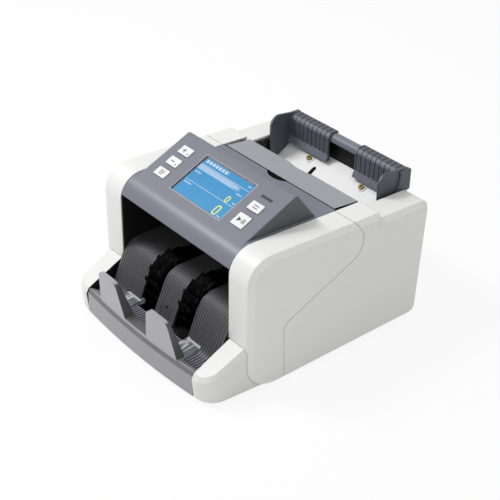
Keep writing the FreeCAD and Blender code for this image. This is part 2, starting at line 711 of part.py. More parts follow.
def buttons():
    """Place and size of each button by name."""
    tall = (BUTTON_SIZE[0], TALL_BUTTON)
    return {
        "upper_left_button": ((BUTTON_LEFT, BUTTON_LEFT_TOP), BUTTON_SIZE),
        "middle_left_button": ((BUTTON_LEFT, BUTTON_LEFT_TOP - BUTTON_PITCH), BUTTON_SIZE),
        "lower_left_button": ((BUTTON_LEFT, BUTTON_LEFT_TOP - 2 * BUTTON_PITCH), BUTTON_SIZE),
        "upper_right_button": ((BUTTON_RIGHT, BUTTON_RIGHT_UPPER), BUTTON_SIZE),
        "lower_right_button": ((BUTTON_RIGHT, BUTTON_RIGHT_LOWER), tall),
    }


def button(centre, size):
    """Key cap with a flange that keeps it under the panel."""
    flange_top = -WALL - BUTTON_GAP
    cap = panel_slab(centre, size, flange_top - BUTTON_FLANGE, BUTTON_RISE, BUTTON_CORNER)
    flange = panel_slab(centre, grown(size, BUTTON_FLANGE), flange_top - BUTTON_FLANGE, flange_top,
                        BUTTON_CORNER)
    return joined([cap, flange])


def board_top():
    """Height of a keypad board's upper face, under its keys and switches."""
    return -WALL - BUTTON_GAP - BUTTON_FLANGE - BUTTON_TRAVEL - BUTTON_GAP - SWITCH_HEIGHT


def keypad_extent(column):
    """Middle and size of the keypad board behind one column of buttons."""
    keys = [(c, s) for c, s in buttons().values() if c[0] == column]
    low = min(c[1] - s[1] / 2 for c, s in keys) - BOARD_MARGIN
    high = max(c[1] + s[1] / 2 for c, s in keys) + BOARD_MARGIN
    return (column, (low + high) / 2), (BUTTON_SIZE[0], high - low)


def keypad_posts(column):
    centre, size = keypad_extent(column)
    reach = size[1] / 2 - POST_RADIUS
    return [(column, centre[1] - reach), (column, centre[1] + reach)]


def keypad_board(column):
    """Circuit board with one push switch under each button."""
    centre, size = keypad_extent(column)
    top = board_top()
    pieces = [panel_slab(centre, size, top - BOARD, top, BUTTON_CORNER)]
    for place, key in buttons().values():
        if place[0] == column:
            pieces.append(panel_slab(place, (SWITCH, SWITCH), top, top + SWITCH_HEIGHT, BUTTON_CORNER))
    return joined(pieces)


def hood_outline(inset):
    """Side view of the hood at the level of the side covers."""
    return [(HOOD_FRONT + inset, FLOOR), (HOOD_FRONT + inset, COVER_TOP - inset, hood_round() - inset),
            (COVER_CREST, COVER_TOP - inset), (HOOD_REAR, hood_rear_top() - inset), (HOOD_REAR, FLOOR)]


def hood_round():
    """Radius of the hood's front bend, to which the panel's slope is a tangent."""
    sine, cosine = math.sin(math.radians(PANEL_TILT)), math.cos(math.radians(PANEL_TILT))
    across = (HOOD_FRONT - PANEL_TOP_PLACE) * sine
    up = (PANEL_TOP - COVER_TOP) * cosine
    return (across + up) / (1 - sine - cosine)


def hood_rear_top():
    """Height of the side covers' top line at the hood's rear edge."""
    share = (HOOD_REAR - COVER_CREST) / (COVER_STEP - COVER_CREST)
    return COVER_TOP - COVER_TOP_FALL * share


def panel_outline(inset):
    """Side view of the sloping display housing, drawn in by a wall's thickness."""
    slope = math.tan(math.radians(PANEL_TILT))
    level = COVER_TOP - hood_round() * (1 - math.cos(math.radians(PANEL_TILT)))
    run = (PANEL_TOP - level) / slope
    drop = inset / math.cos(math.radians(PANEL_TILT))
    return [(PANEL_TOP_PLACE - run, level - drop),
            (PANEL_TOP_PLACE - inset, PANEL_TOP - drop - inset * slope, PANEL_TOP_ROUND - inset),
            (PANEL_BACK_FOOT - inset, COVER_TOP - COVER_TOP_FALL - inset),
            (PANEL_BACK_FOOT - inset, level - 2 * WALL)]


def control_panel_housing():
    """Hood over the rollers with the sloping panel, its key holes and its display frame."""
    half = INNER_HALF - HOOD_CRACK
    high = panel_body(0)
    low = side_prism(hood_outline(0), -half, half)
    room = side_prism(hood_outline(WALL), -half + WALL, half - WALL)
    under = block(-half - 1, half + 1, HOOD_FRONT - 1, HOOD_REAR + 1, 0, HOOD_LIP)
    shell = low.fuse(high).cut([room, panel_body(WALL), under])
    posts = []
    for column in (BUTTON_LEFT, BUTTON_RIGHT):
        for x, t in keypad_posts(column):
            posts.append(on_panel(pillar(x, t, board_top(), -WALL / 2, POST_RADIUS)))
    cuts = []
    for centre, size in buttons().values():
        cuts.append(panel_slab(centre, grown(size, BUTTON_GAP), -2 * WALL, WALL, BUTTON_CORNER))
    cuts.append(panel_slab(DISPLAY_CENTRE, grown(DISPLAY_SIZE, GLASS_GAP), -GLASS - GLASS_SINK, WALL,
                           DISPLAY_CORNER))
    cuts.append(panel_slab(DISPLAY_CENTRE, grown(DISPLAY_SIZE, -DISPLAY_SHOULDER), -2 * WALL, WALL,
                           DISPLAY_CORNER))
    cuts.append(panel_slab(LABEL_PLACE, LABEL_SIZE, -LABEL_DEPTH, WALL, LABEL_DEPTH))
    width, depth = FINGER_NOTCH
    notch = (width ** 2 / 4 + depth ** 2) / (2 * depth)
    cuts.append(pillar(0, HOOD_REAR + notch - depth, HOOD_LIP, PANEL_TOP, notch))
    return shell.fuse(posts).cut(cuts).removeSplitter()


def panel_body(inset):
    """The sloping display housing, or the room inside it."""
    half = PANEL_HALF_WIDTH - inset
    body = side_prism(panel_outline(inset), -half, half)
    if inset:
        return body
    rim = []
    for edge in body.Edges:
        box = edge.BoundBox
        on_side = box.XLength < 1e-6 and abs(abs(box.XMin) - half) < 1e-6
        if on_side and box.ZMax > COVER_TOP:
            rim.append(edge)
    return body.makeFillet(PANEL_TOP_ROUND / 2, rim)


def display_window():
    top = -GLASS_SINK
    return panel_slab(DISPLAY_CENTRE, DISPLAY_SIZE, top - GLASS, top, DISPLAY_CORNER)


def display_module():
    """Colour display whose screen rises into the opening behind the window."""
    base = panel_slab(DISPLAY_CENTRE, grown(DISPLAY_SIZE, DISPLAY_SHOULDER), -WALL - DISPLAY_DEPTH, -WALL,
                      DISPLAY_CORNER)
    screen = panel_slab(DISPLAY_CENTRE, grown(DISPLAY_SIZE, -DISPLAY_SHOULDER - GLASS_GAP), -WALL - GLASS,
                        -GLASS_SINK - GLASS - GLASS_GAP, DISPLAY_CORNER)
    return joined([base, screen])


def service_flap():
    """Lid behind the panel that lifts at its front, with an ear for each hinge pin."""
    half = FRAME_INSIDE - FLAP_SIDE_GAP
    front = HOOD_REAR + FLAP_GAP
    top = hood_rear_top()
    lid = side_prism([(front, top), (FLAP_REAR, top - FLAP_FALL),
                      (FLAP_REAR, top - FLAP_FALL - WALL), (front, top - WALL)], -half, half)
    y, z = HINGE_AXIS
    pieces = [lid, block(-half, half, front, front + WALL, top - FLAP_LIP, top - WALL / 2)]
    for side in (-1, 1):
        x = side * (half - HINGE_EAR / 2)
        ear = side_prism([(y - HINGE_EAR, z), (y + HINGE_EAR, z), (y + HINGE_EAR, top - FLAP_FALL),
                          (y - HINGE_EAR, top - FLAP_FALL)], x - HINGE_EAR / 2, x + HINGE_EAR / 2)
        pieces += [ear, rod(x - HINGE_EAR / 2, x + HINGE_EAR / 2, HINGE_AXIS, HINGE_EAR)]
    above = side_prism([(front, top), (FLAP_REAR, top - FLAP_FALL), (FLAP_REAR, PANEL_TOP),
                        (front, PANEL_TOP)], -half, half)
    width, depth = FLAP_NOTCH
    notch = (width ** 2 / 4 + depth ** 2) / (2 * depth)
    scoop = pillar(0, FLAP_REAR - depth + notch, HOOD_LIP, PANEL_TOP, notch)
    bore = rod(-half - 1, half + 1, HINGE_AXIS, HINGE_PIN + BEARING_PLAY)
    return joined(pieces).cut([above, scoop, bore])


def hinge_pin():
    """Stub pin fixed in a side frame, reaching into the flap's ear."""
    return rod(FRAME_INSIDE - FLAP_SIDE_GAP - HINGE_EAR, INNER_HALF, HINGE_AXIS, HINGE_PIN)


def hopper_half():
    return FRAME_INSIDE - SHEET - SLIDE_GAP


def hopper_line(lift):
    """Side view of the hopper floor's upper surface, raised by lift."""
    return [(HOPPER_REAR, HOPPER_BACK_HEIGHT + lift),
            (HOPPER_BEND, HOPPER_BEND_HEIGHT + lift, HOPPER_BEND_ROUND),
            (HOPPER_FRONT, HOPPER_FRONT_HEIGHT + lift)]


def hopper_slope():
    """Tilt of the hopper floor's steep rear part, in radians."""
    return math.atan2(HOPPER_BACK_HEIGHT - HOPPER_BEND_HEIGHT, HOPPER_REAR - HOPPER_BEND)


def hopper_screw_spot(side):
    normal = FreeCAD.Vector(0, -math.sin(hopper_slope()), math.cos(hopper_slope()))
    spot = FreeCAD.Vector(side * HOPPER_SCREW_X + HOPPER_SCREW_SHIFT, HOPPER_SCREW_Y, HOPPER_SCREW_HEIGHT)
    return spot, normal


def hopper_floor():
    """White sloping floor under the notes, with slots for the pickup rollers."""
    half = hopper_half()
    floor = side_prism(hopper_line(0) + hopper_line(-WALL)[::-1], -half, half)
    cuts = []
    for x in PICKUP_PLACES:
        room = PICKUP_WIDTH / 2 + ROLLER_GAP
        reach = PICKUP_RADIUS + ROLLER_GAP
        cuts.append(block(x - room, x + room, PICKUP_AXIS[0] - reach, PICKUP_AXIS[0] + reach,
                          PICKUP_AXIS[1], HOPPER_BACK_HEIGHT))
    x, y = HOPPER_SLOT_PLACE
    half_x, half_y = HOPPER_SLOT[0] / 2, HOPPER_SLOT[1] / 2
    corner = HOPPER_SLOT[0] / 3
    slot = [(x - half_x, y - half_y, corner), (x + half_x, y - half_y, corner),
            (x + half_x, y + half_y, corner), (x - half_x, y + half_y, corner)]
    cuts.append(plan_prism(slot, PICKUP_AXIS[1], HOPPER_BACK_HEIGHT))
    bosses = []
    for side in (-1, 1):
        spot, normal = hopper_screw_spot(side)
        foot = spot - normal * (WALL / 2)
        bosses.append(Part.makeCylinder(BOSS_RADIUS, WALL / 2 + BOSS_RISE, foot, normal))
        cuts.append(Part.makeCylinder(SCREW_RADIUS, 4 * WALL, spot - normal * (2 * WALL), normal))
    return floor.fuse(bosses).cut(cuts).removeSplitter()


def hopper_screws():
    """Brass screws seated on the hopper floor's bosses."""
    screws = []
    for side in (-1, 1):
        spot, normal = hopper_screw_spot(side)
        seat = spot + normal * BOSS_RISE
        head = Part.makeCylinder(SCREW_HEAD, HEAD_RISE, seat, normal)
        shank = Part.makeCylinder(SCREW_RADIUS, WALL + BOSS_RISE, seat - normal * (WALL + BOSS_RISE), normal)
        screws.append(joined([head, shank]))
    return Part.Compound(screws)


def hopper_back_wall():
    """Dark wall that closes the hopper behind the guides, under the rail."""
    half = hopper_half()
    return block(-half, half, HOPPER_REAR, HOPPER_REAR + WALL, HOPPER_BACK_HEIGHT - 2 * WALL, RAIL_BOTTOM)


def guide_rail():
    """Bar across the back that the two note guides slide along."""
    half = FRAME_INSIDE - SHEET
    corners = [(RAIL_FRONT, RAIL_BOTTOM), (RAIL_FRONT + RAIL_DEPTH, RAIL_BOTTOM),
               (RAIL_FRONT + RAIL_DEPTH, RAIL_BOTTOM + RAIL_HEIGHT),
               (RAIL_FRONT, RAIL_BOTTOM + RAIL_HEIGHT, RAIL_ROUND)]
    return side_prism(corners, -half, half)


def rail_bracket():
    """Steel bracket from the side frame up to the rail's end."""
    foot = HOPPER_BEND_HEIGHT
    top = RAIL_BOTTOM + RAIL_HEIGHT + SHEET
    rear = COVER_REAR + BRACKET_OVERHANG
    frame_rear = COVER_REAR - FRAME_LAP
    corners = [(HOPPER_SCREW_Y - BOSS_RADIUS, foot), (frame_rear, foot), (frame_rear, HOOD_LIP - SHEET),
               (rear, HOOD_LIP + SHEET), (rear, top, SHEET), (RAIL_FRONT - SHEET, top, SHEET),
               (RAIL_FRONT - SHEET, RAIL_BOTTOM)]
    return side_prism(corners, FRAME_INSIDE - SHEET, FRAME_INSIDE)


def note_guide():
    """Sliding guide: a side wall for the notes and a ribbed back that hooks over the rail."""
    outside = hopper_half()
    inside = outside - GUIDE_REACH
    back = RAIL_FRONT - SLIDE_GAP
    rail_top = RAIL_BOTTOM + RAIL_HEIGHT + SLIDE_GAP
    rail_rear = RAIL_FRONT + RAIL_DEPTH + SLIDE_GAP
    top = rail_top + GUIDE_CAP
    roll = RAIL_ROUND + GUIDE_CAP
    hook = [(back - GUIDE_WALL, GUIDE_FOOT), (back - GUIDE_WALL, top, roll),
            (rail_rear + GUIDE_WALL, top, GUIDE_CAP), (rail_rear + GUIDE_WALL, RAIL_BOTTOM),
            (rail_rear, RAIL_BOTTOM), (rail_rear, rail_top), (back, rail_top, RAIL_ROUND),
            (back, GUIDE_FOOT)]
    lip = [(back, GUIDE_FOOT), (back, GUIDE_FOOT - GUIDE_LIP),
           (back - GUIDE_FLARE, GUIDE_FOOT - GUIDE_LIP), (back - GUIDE_WALL, GUIDE_FOOT)]
    rib = [(back - GUIDE_WALL, GUIDE_FOOT), (back - GUIDE_WALL - GUIDE_RIB, GUIDE_FOOT),
           (back - GUIDE_WALL - GUIDE_RIB, top + GUIDE_RIB, roll + GUIDE_RIB),
           (rail_rear, top + GUIDE_RIB), (rail_rear, top), (back - GUIDE_WALL, top, roll)]
    low = HOPPER_BEND_HEIGHT + GUIDE_LIFT
    high = HOPPER_BACK_HEIGHT + GUIDE_LIFT
    wall = [(GUIDE_FRONT, low), (HOPPER_BEND, low), (HOPPER_REAR - WALL, high), (rail_rear, high),
            (rail_rear + GUIDE_WALL, RAIL_BOTTOM), (rail_rear + GUIDE_WALL, top),
            (GUIDE_FRONT, top + GUIDE_CREST, GUIDE_ROUND)]
    room = [(RAIL_FRONT - SLIDE_GAP, high - WALL), (rail_rear, high - WALL), (rail_rear, rail_top),
            (RAIL_FRONT - SLIDE_GAP, rail_top)]
    pieces = [side_prism(hook, inside, outside), side_prism(lip, inside, outside),
              side_prism(wall, outside - GUIDE_WALL, outside).cut(side_prism(room, inside, outside))]
    for i in range(int((GUIDE_REACH - GUIDE_WALL) / GUIDE_RIB_PITCH) + 1):
        x = inside + i * GUIDE_RIB_PITCH
        pieces.append(side_prism(rib, x, x + GUIDE_RIB_WIDTH))
    return joined(pieces)


def loop_prism(first, first_radius, second, second_radius, x0, x1):
    """Solid bounded by a tight band around two pulleys."""
    dy, dz = second[0] - first[0], second[1] - first[1]
    span = math.hypot(dy, dz)
    along = math.atan2(dz, dy)
    lean = math.acos((first_radius - second_radius) / span)

    def spot(axis, radius, angle):
        return FreeCAD.Vector(x0, axis[0] + radius * math.cos(angle), axis[1] + radius * math.sin(angle))

    up, down = along + lean, along - lean
    edges = [Part.Arc(spot(first, first_radius, up), spot(first, first_radius, along + math.pi),
                      spot(first, first_radius, down)).toShape(),
             Part.makeLine(spot(first, first_radius, down), spot(second, second_radius, down)),
             Part.Arc(spot(second, second_radius, down), spot(second, second_radius, along),
                      spot(second, second_radius, up)).toShape(),
             Part.makeLine(spot(second, second_radius, up), spot(first, first_radius, up))]
    return Part.Face(Part.Wire(edges)).extrude(FreeCAD.Vector(x1 - x0, 0, 0))


def belt(first, first_radius, second, second_radius, lane):
    """Closed flat belt round two pulleys in one lane outside a side frame."""
    x0, x1 = lane_span(lane)
    near = (first_radius + BELT_GAP, second_radius + BELT_GAP)
    far = (near[0] + BELT, near[1] + BELT)
    outer = loop_prism(first, far[0], second, far[1], x0, x1)
    return outer.cut(loop_prism(first, near[0], second, near[1], x0 - 1, x1 + 1))


def drive_belts():
    """Belts from the motor to the feed shaft, and from there to the pickup and the impellers."""
    return Part.Compound([
        belt(MOTOR_AXIS, MOTOR_PULLEY, FEED_AXIS, FEED_LARGE_PULLEY, 0),
        belt(FEED_AXIS, FEED_SMALL_PULLEY, PICKUP_AXIS, PICKUP_PULLEY, 1),
        belt(FEED_AXIS, FEED_SMALL_PULLEY, IMPELLER_AXIS, IMPELLER_PULLEY, 2),
    ])


def feed_pulleys():
    """The feed shaft's driven pulley and its two driving ones, side by side."""
    radii = (FEED_LARGE_PULLEY, FEED_SMALL_PULLEY, FEED_SMALL_PULLEY)
    return Part.Compound([pulley(FEED_AXIS, r, lane, SHAFT_RADIUS) for lane, r in enumerate(radii)])


def lane_span(lane):
    x0 = INNER_HALF + BEARING_WIDTH + lane * (BELT_WIDTH + LANE_GAP)
    return x0, x0 + BELT_WIDTH


def pulley(axis, radius, lane, bore):
    x0, x1 = lane_span(lane)
    return ring(x0, x1, axis, radius, bore)


def shaft(axis, lanes):
    """Steel shaft across both frames, long enough on the right for its pulleys."""
    left = -INNER_HALF - BEARING_WIDTH
    right = lane_span(lanes - 1)[1] + LANE_GAP if lanes else -left
    return rod(left, right, axis, SHAFT_RADIUS)


def rollers(axis, radius, places, width):
    return Part.Compound([ring(x - width / 2, x + width / 2, axis, radius, SHAFT_RADIUS) for x in places])


def bearings():
    """One ball bearing for each shaft, seated in the right frame."""
    x0 = FRAME_INSIDE - (BEARING_WIDTH - SHEET) / 2
    return Part.Compound([ring(x0, x0 + BEARING_WIDTH, axis, BEARING_RADIUS - BEARING_PLAY,
                               SHAFT_RADIUS + BEARING_PLAY) for axis in SHAFT_AXES])


def main_motor():
    """Motor on the inside of the right frame, its spigot through the frame's hole."""
    body = rod(FRAME_INSIDE - MOTOR_LENGTH, FRAME_INSIDE, MOTOR_AXIS, MOTOR_RADIUS)
    spigot = rod(FRAME_INSIDE, INNER_HALF, MOTOR_AXIS, MOTOR_SPIGOT)
    bore = rod(FRAME_INSIDE - MOTOR_LENGTH - 1, INNER_HALF + 1, MOTOR_AXIS, MOTOR_SHAFT + BEARING_PLAY)
    room = rod(FRAME_INSIDE - MOTOR_LENGTH + MOTOR_WALL, FRAME_INSIDE - MOTOR_WALL, MOTOR_AXIS,
               MOTOR_RADIUS - MOTOR_WALL)
    return joined([body, spigot]).cut([bore, room])


def motor_shaft():
    """Shaft through the motor, with the armature that turns inside the can."""
    inner_end = FRAME_INSIDE - MOTOR_LENGTH
    spindle = rod(inner_end, lane_span(0)[1] + LANE_GAP, MOTOR_AXIS, MOTOR_SHAFT)
    inset = MOTOR_WALL + ARMATURE_GAP
    armature = rod(inner_end + inset, FRAME_INSIDE - inset, MOTOR_AXIS, MOTOR_RADIUS - inset)
    return joined([spindle, armature])


def sensor_bar(low, high):
    """Bar of light and magnetic sensors across the note path, fixed between the frames."""
    return block(-FRAME_INSIDE, FRAME_INSIDE, SENSOR_FRONT, SENSOR_FRONT + SENSOR_DEPTH, low, high)


def sensor_top():
    """Underside of the upper sensor bar."""
    return SENSOR_LOWER + SENSOR_GAP


def exit_chute():
    """Dark sheet that turns the counted notes down into the impellers."""
    upper = [(CHUTE_REAR, sensor_top()), (CHUTE_BEND, sensor_top(), CHUTE_ROUND),
             (STACKER_REAR, STACKER_TOP + CHUTE_MOUTH)]
    lower = [(y, z - WALL, *rest) for y, z, *rest in upper][::-1]
    return side_prism(upper + lower, -FRAME_INSIDE, FRAME_INSIDE)


def tie_bars():
    return Part.Compound([rod(-FRAME_INSIDE, FRAME_INSIDE, axis, TIE_RADIUS) for axis in TIE_AXES])


def frame_screws():
    """Screw heads outside each frame that hold the tie bars."""
    heads = []
    for axis in TIE_AXES:
        heads.append(rod(INNER_HALF, INNER_HALF + HEAD_RISE, axis, SCREW_HEAD))
        heads.append(rod(-INNER_HALF - HEAD_RISE, -INNER_HALF, axis, SCREW_HEAD))
    return heads


def standing_board(x0, x1, y0, y1, parts):
    """Circuit board on four posts over the base, with its larger parts."""
    low = FLOOR + SHEET
    level = low + STANDOFF
    pieces = [block(x0, x1, y0, y1, level, level + BOARD)]
    for x in (x0 + POST_RADIUS, x1 - POST_RADIUS):
        for y in (y0 + POST_RADIUS, y1 - POST_RADIUS):
            pieces.append(pillar(x, y, low, level, POST_RADIUS))
    for x, y, width, depth, height in parts:
        pieces.append(block(x, x + width, y, y + depth, level + BOARD, level + BOARD + height))
    return joined(pieces)


def main_board():
    x0, x1, y0, y1 = MAIN_BOARD
    chip = (x1 - x0) / (2 * CHIPS + 1)
    parts = []
    for i in range(CHIPS):
        parts.append((x0 + chip * (2 * i + 1), y0 + chip, chip, chip * (1 + i % 2), CHIP_HEIGHT))
    return standing_board(x0, x1, y0, y1, parts)


def power_supply():
    x0, x1, y0, y1 = SUPPLY_BOARD
    third = (x1 - x0) / 3
    parts = [(x0 + third / 4, y0 + third / 2, third, third, SUPPLY_HEIGHT),
             (x0 + third * 1.6, y0 + third / 4, third, third * 1.5, SUPPLY_HEIGHT * 0.7)]
    return standing_board(x0, x1, y0, y1, parts)


def rear_y():
    return COVER_REAR - FRAME_LAP


def rear_cover():
    """Back panel with cooling slots and the openings for the inlet and the switch."""
    half = INNER_HALF - SLIDE_GAP
    panel = block(-half, half, rear_y(), rear_y() + WALL, FLOOR, REAR_TOP)
    cuts = [inlet_body(SLIDE_GAP), switch_body(SLIDE_GAP)]
    for i in range(VENTS):
        x = VENT_PLACE + i * 2 * VENT_WIDTH
        cuts.append(block(x, x + VENT_WIDTH, rear_y() - 1, rear_y() + WALL + 1, VENT_BOTTOM,
                          VENT_BOTTOM + VENT_HEIGHT))
    return panel.cut(cuts)


def inlet_body(gap):
    x, z = INLET_PLACE
    width, height = INLET_SIZE[0] / 2 + gap, INLET_SIZE[1] / 2 + gap
    return block(x - width, x + width, rear_y() - INLET_DEPTH, rear_y() + WALL, z - height, z + height)


def power_inlet():
    """Mains inlet with three flat pins inside its socket."""
    x, z = INLET_PLACE
    width, height = INLET_SIZE[0] / 2, INLET_SIZE[1] / 2
    face = rear_y() + WALL
    flange = block(x - width - WALL, x + width + WALL, face, face + SHEET,
                   z - height - WALL, z + height + WALL)
    bottom = rear_y() - INLET_DEPTH + WALL
    socket = block(x - width + SHEET, x + width - SHEET, bottom, face + SHEET + 1, z - height + SHEET,
                   z + height - SHEET)
    body = joined([inlet_body(0), flange]).cut(socket)
    pins = []
    for px, pz in ((-INLET_PIN_PITCH, -SHEET), (0, SHEET), (INLET_PIN_PITCH, -SHEET)):
        pins.append(block(x + px - SHEET / 2, x + px + SHEET / 2, bottom - SHEET / 2, face - 2 * SHEET,
                          z + pz - SHEET, z + pz + SHEET))
    return joined([body] + pins)


def switch_body(gap):
    x, z = SWITCH_PLACE
    width, height = SWITCH_SIZE[0] / 2 + gap, SWITCH_SIZE[1] / 2 + gap
    return block(x - width, x + width, rear_y() - INLET_DEPTH, rear_y() + WALL, z - height, z + height)


def switch_pivot():
    return rear_y() + WALL - ROCKER_DEPTH


def switch_housing():
    """Frame of the power switch, open at the back for its rocker."""
    x, z = SWITCH_PLACE
    width, height = SWITCH_SIZE[0] / 2, SWITCH_SIZE[1] / 2
    face = rear_y() + WALL
    flange = block(x - width - SHEET, x + width + SHEET, face, face + SHEET / 2, z - height - SHEET,
                   z + height + SHEET)
    room = block(x - width + SHEET, x + width - SHEET, rear_y() - INLET_DEPTH + SHEET, face + SHEET,
                 z - height + SHEET, z + height - SHEET)
    body = joined([switch_body(0), flange]).cut(room)
    pivot = rod(x - width, x + width, (switch_pivot(), z), ROCKER_PIN)
    return joined([body, pivot])


def power_rocker():
    """Rocker of the power switch, bored for its pivot and rounded about it."""
    x, z = SWITCH_PLACE
    half = SWITCH_SIZE[0] / 2 - SHEET - SLIDE_GAP
    pivot = (switch_pivot(), z)
    reach = SWITCH_SIZE[1] / 2 - SHEET - SLIDE_GAP - ROCKER_SIDE
    face = rear_y() + WALL + SHEET
    corners = [(pivot[0] - ROCKER_DEPTH / 2, z - reach / 2), (face, z - reach, SHEET),
               (face - SHEET / 2, z), (face, z + reach, SHEET), (pivot[0] - ROCKER_DEPTH / 2, z + reach / 2)]
    body = side_prism(corners, x - half, x + half)
    return body.cut(rod(x - half - 1, x + half + 1, pivot, ROCKER_PIN + BEARING_PLAY))


def rear_screws():
    """Screw heads on the back panel's corners."""
    screws = []
    face = rear_y() + WALL
    for x in (-FRAME_INSIDE + FOOT_RADIUS, FRAME_INSIDE - FOOT_RADIUS):
        for z in (FLOOR + FOOT_RADIUS, REAR_TOP - FOOT_RADIUS):
            seat = FreeCAD.Vector(x, face, z)
            screws.append(Part.makeCylinder(SCREW_HEAD, HEAD_RISE, seat, FreeCAD.Vector(0, 1, 0)))
    return screws


# Halfway between the front of the prongs and the back of the rail brackets
MIDDLE_Y = (front_plate().optimalBoundingBox(False, False).YMin + COVER_REAR + BRACKET_OVERHANG) / 2


def main():
    os.makedirs("parts", exist_ok=True)
    front_shell, rear_shell = side_covers()
    save_pair("front_side_cover", front_shell)
    save_pair("rear_side_cover", rear_shell)
    save_pair("fender", fender())
    save("front_plate", front_plate())
    save_pair("side_frame", side_frame())
    save("base_pan", base_pan())
    save("rubber_feet", rubber_feet())
    save("stacker_plate", stacker_plate())
    save("sensor_windows", both_sides(sensor_window()))
    save("impeller_hubs", both_sides(impeller_hub()))
    save("left_impeller_petals", impeller_petals(-1))
    save("right_impeller_petals", impeller_petals(1))
    save("control_panel_housing", control_panel_housing())
    save("display_window", display_window())
    save("display_module", display_module())
    for name, (centre, size) in buttons().items():
        save(name, button(centre, size))
    save("keypad_boards", Part.Compound([keypad_board(BUTTON_LEFT), keypad_board(BUTTON_RIGHT)]))
    save("service_flap", service_flap())
    save("hinge_pins", both_sides(hinge_pin()))
    save("hopper_floor", hopper_floor())
    save("hopper_screws", hopper_screws())
    save("hopper_back_wall", hopper_back_wall())
    save("guide_rail", guide_rail())
    save("rail_brackets", both_sides(rail_bracket()))
    save_pair("note_guide", note_guide())
    save("main_motor", main_motor())
    save("motor_shaft", motor_shaft())
    save("motor_pulley", pulley(MOTOR_AXIS, MOTOR_PULLEY, 0, MOTOR_SHAFT))
    save("feed_shaft", shaft(FEED_AXIS, 3))
    save("feed_rollers", rollers(FEED_AXIS, FEED_RADIUS, FEED_PLACES, FEED_WIDTH))
    save("feed_pulleys", feed_pulleys())
    save("pickup_shaft", shaft(PICKUP_AXIS, 2))
    save("pickup_rollers", rollers(PICKUP_AXIS, PICKUP_RADIUS, PICKUP_PLACES, PICKUP_WIDTH))
    save("pickup_pulley", pulley(PICKUP_AXIS, PICKUP_PULLEY, 1, SHAFT_RADIUS))
    save("impeller_shaft", shaft(IMPELLER_AXIS, 3))
    save("impeller_pulley", pulley(IMPELLER_AXIS, IMPELLER_PULLEY, 2, SHAFT_RADIUS))
    save("counter_shaft", shaft(COUNTER_AXIS, 0))
    save("counter_rollers", rollers(COUNTER_AXIS, COUNTER_RADIUS, COUNTER_PLACES, FEED_WIDTH))
    save("drive_belts", drive_belts())
    save("bearings", both_sides(bearings()))
    save("lower_sensor_bar", sensor_bar(SENSOR_LOWER - SENSOR_HEIGHT, SENSOR_LOWER))
    save("upper_sensor_bar", sensor_bar(sensor_top(), sensor_top() + SENSOR_HEIGHT))
    save("exit_chute", exit_chute())
    save("tie_bars", tie_bars())
    save("case_screws", Part.Compound(frame_screws() + rear_screws()))
    save("main_board", main_board())
    save("power_supply", power_supply())
    save("rear_cover", rear_cover())
    save("power_inlet", power_inlet())
    save("switch_housing", switch_housing())
    save("power_rocker", power_rocker())


main()
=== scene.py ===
import json
import math
import bpy
from mathutils import Matrix, Vector


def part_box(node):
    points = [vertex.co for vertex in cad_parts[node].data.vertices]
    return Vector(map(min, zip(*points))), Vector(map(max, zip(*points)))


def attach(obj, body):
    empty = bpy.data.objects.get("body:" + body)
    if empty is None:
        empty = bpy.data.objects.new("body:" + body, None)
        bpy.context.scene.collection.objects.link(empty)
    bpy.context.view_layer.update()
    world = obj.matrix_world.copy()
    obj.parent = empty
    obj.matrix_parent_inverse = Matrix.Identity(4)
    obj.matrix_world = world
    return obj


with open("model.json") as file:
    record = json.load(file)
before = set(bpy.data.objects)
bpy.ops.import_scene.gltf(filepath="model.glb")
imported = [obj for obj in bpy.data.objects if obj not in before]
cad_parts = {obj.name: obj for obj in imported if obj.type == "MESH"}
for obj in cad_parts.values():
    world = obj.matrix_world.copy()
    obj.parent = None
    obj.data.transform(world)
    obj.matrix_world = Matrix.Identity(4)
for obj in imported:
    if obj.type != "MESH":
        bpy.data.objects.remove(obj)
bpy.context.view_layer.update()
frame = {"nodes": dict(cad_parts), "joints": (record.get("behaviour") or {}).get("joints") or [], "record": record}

MM = 0.001

# Camera: place in millimetres, turns in degrees, lens and sensor in millimetres, reach in metres
CAMERA_PLACE = (878.6, -732.05, 807.4)
CAMERA_AZIMUTH = 49.97
CAMERA_ELEVATION = 32.64
CAMERA_ROLL = 1.03
CAMERA_LENS = 85.85
CAMERA_REACH = 20.0
SENSOR = 36.0

# Lamps: name, place and aim in metres, width in metres, power in watts
LAMPS = [
    ("key", (-0.80, -0.62, 1.53), (0, 0, 0.08), 0.45, 11.4),
    ("edge_light", (-1.15, -0.59, 1.29), (0, 0, 0.08), 0.2, 4.6),
    ("overhead", (0.15, 0.45, 1.8), (0, 0.05, 0.1), 1.2, 4),
    ("front_fill", (0.65, -1.5, 0.9), (0, 0, 0.08), 1.0, 1.6),
]
# White studio: strength as a light, and as it is seen
STUDIO_LIGHT = 0.54
STUDIO_SEEN = 1.0

# Floor: width in metres, colour, and how far its white shows over the shadow
FLOOR_WIDTH = 8
FLOOR_COLOUR = (0.92, 0.92, 0.92)
FLOOR_GLOW = 0.86

# Screen in millimetres: lit size, dark shoulder inside its edge, corner radius, pale rim round it
SCREEN_SIZE = (85.0, 56.0)
SCREEN_SHOULDER = 1.0
SCREEN_CORNER = 2.6
SCREEN_RIM = 1.5

# The lit picture, as shares of the screen: start and end across, then the height from the top
RULES = [(0.02, 0.98, 0.178), (0.02, 0.98, 0.625)]
RULE_HEIGHT = 0.010
TITLE = (0.03, 0.50, 0.050)
TITLE_HEIGHT = 0.075
CAPTIONS = [(0.035, 0.15, 0.375), (0.035, 0.18, 0.680), (0.72, 0.82, 0.235), (0.84, 0.94, 0.335),
            (0.89, 0.95, 0.075), (0.92, 0.97, 0.545), (0.90, 0.96, 0.930)]
CAPTION_HEIGHT = 0.030
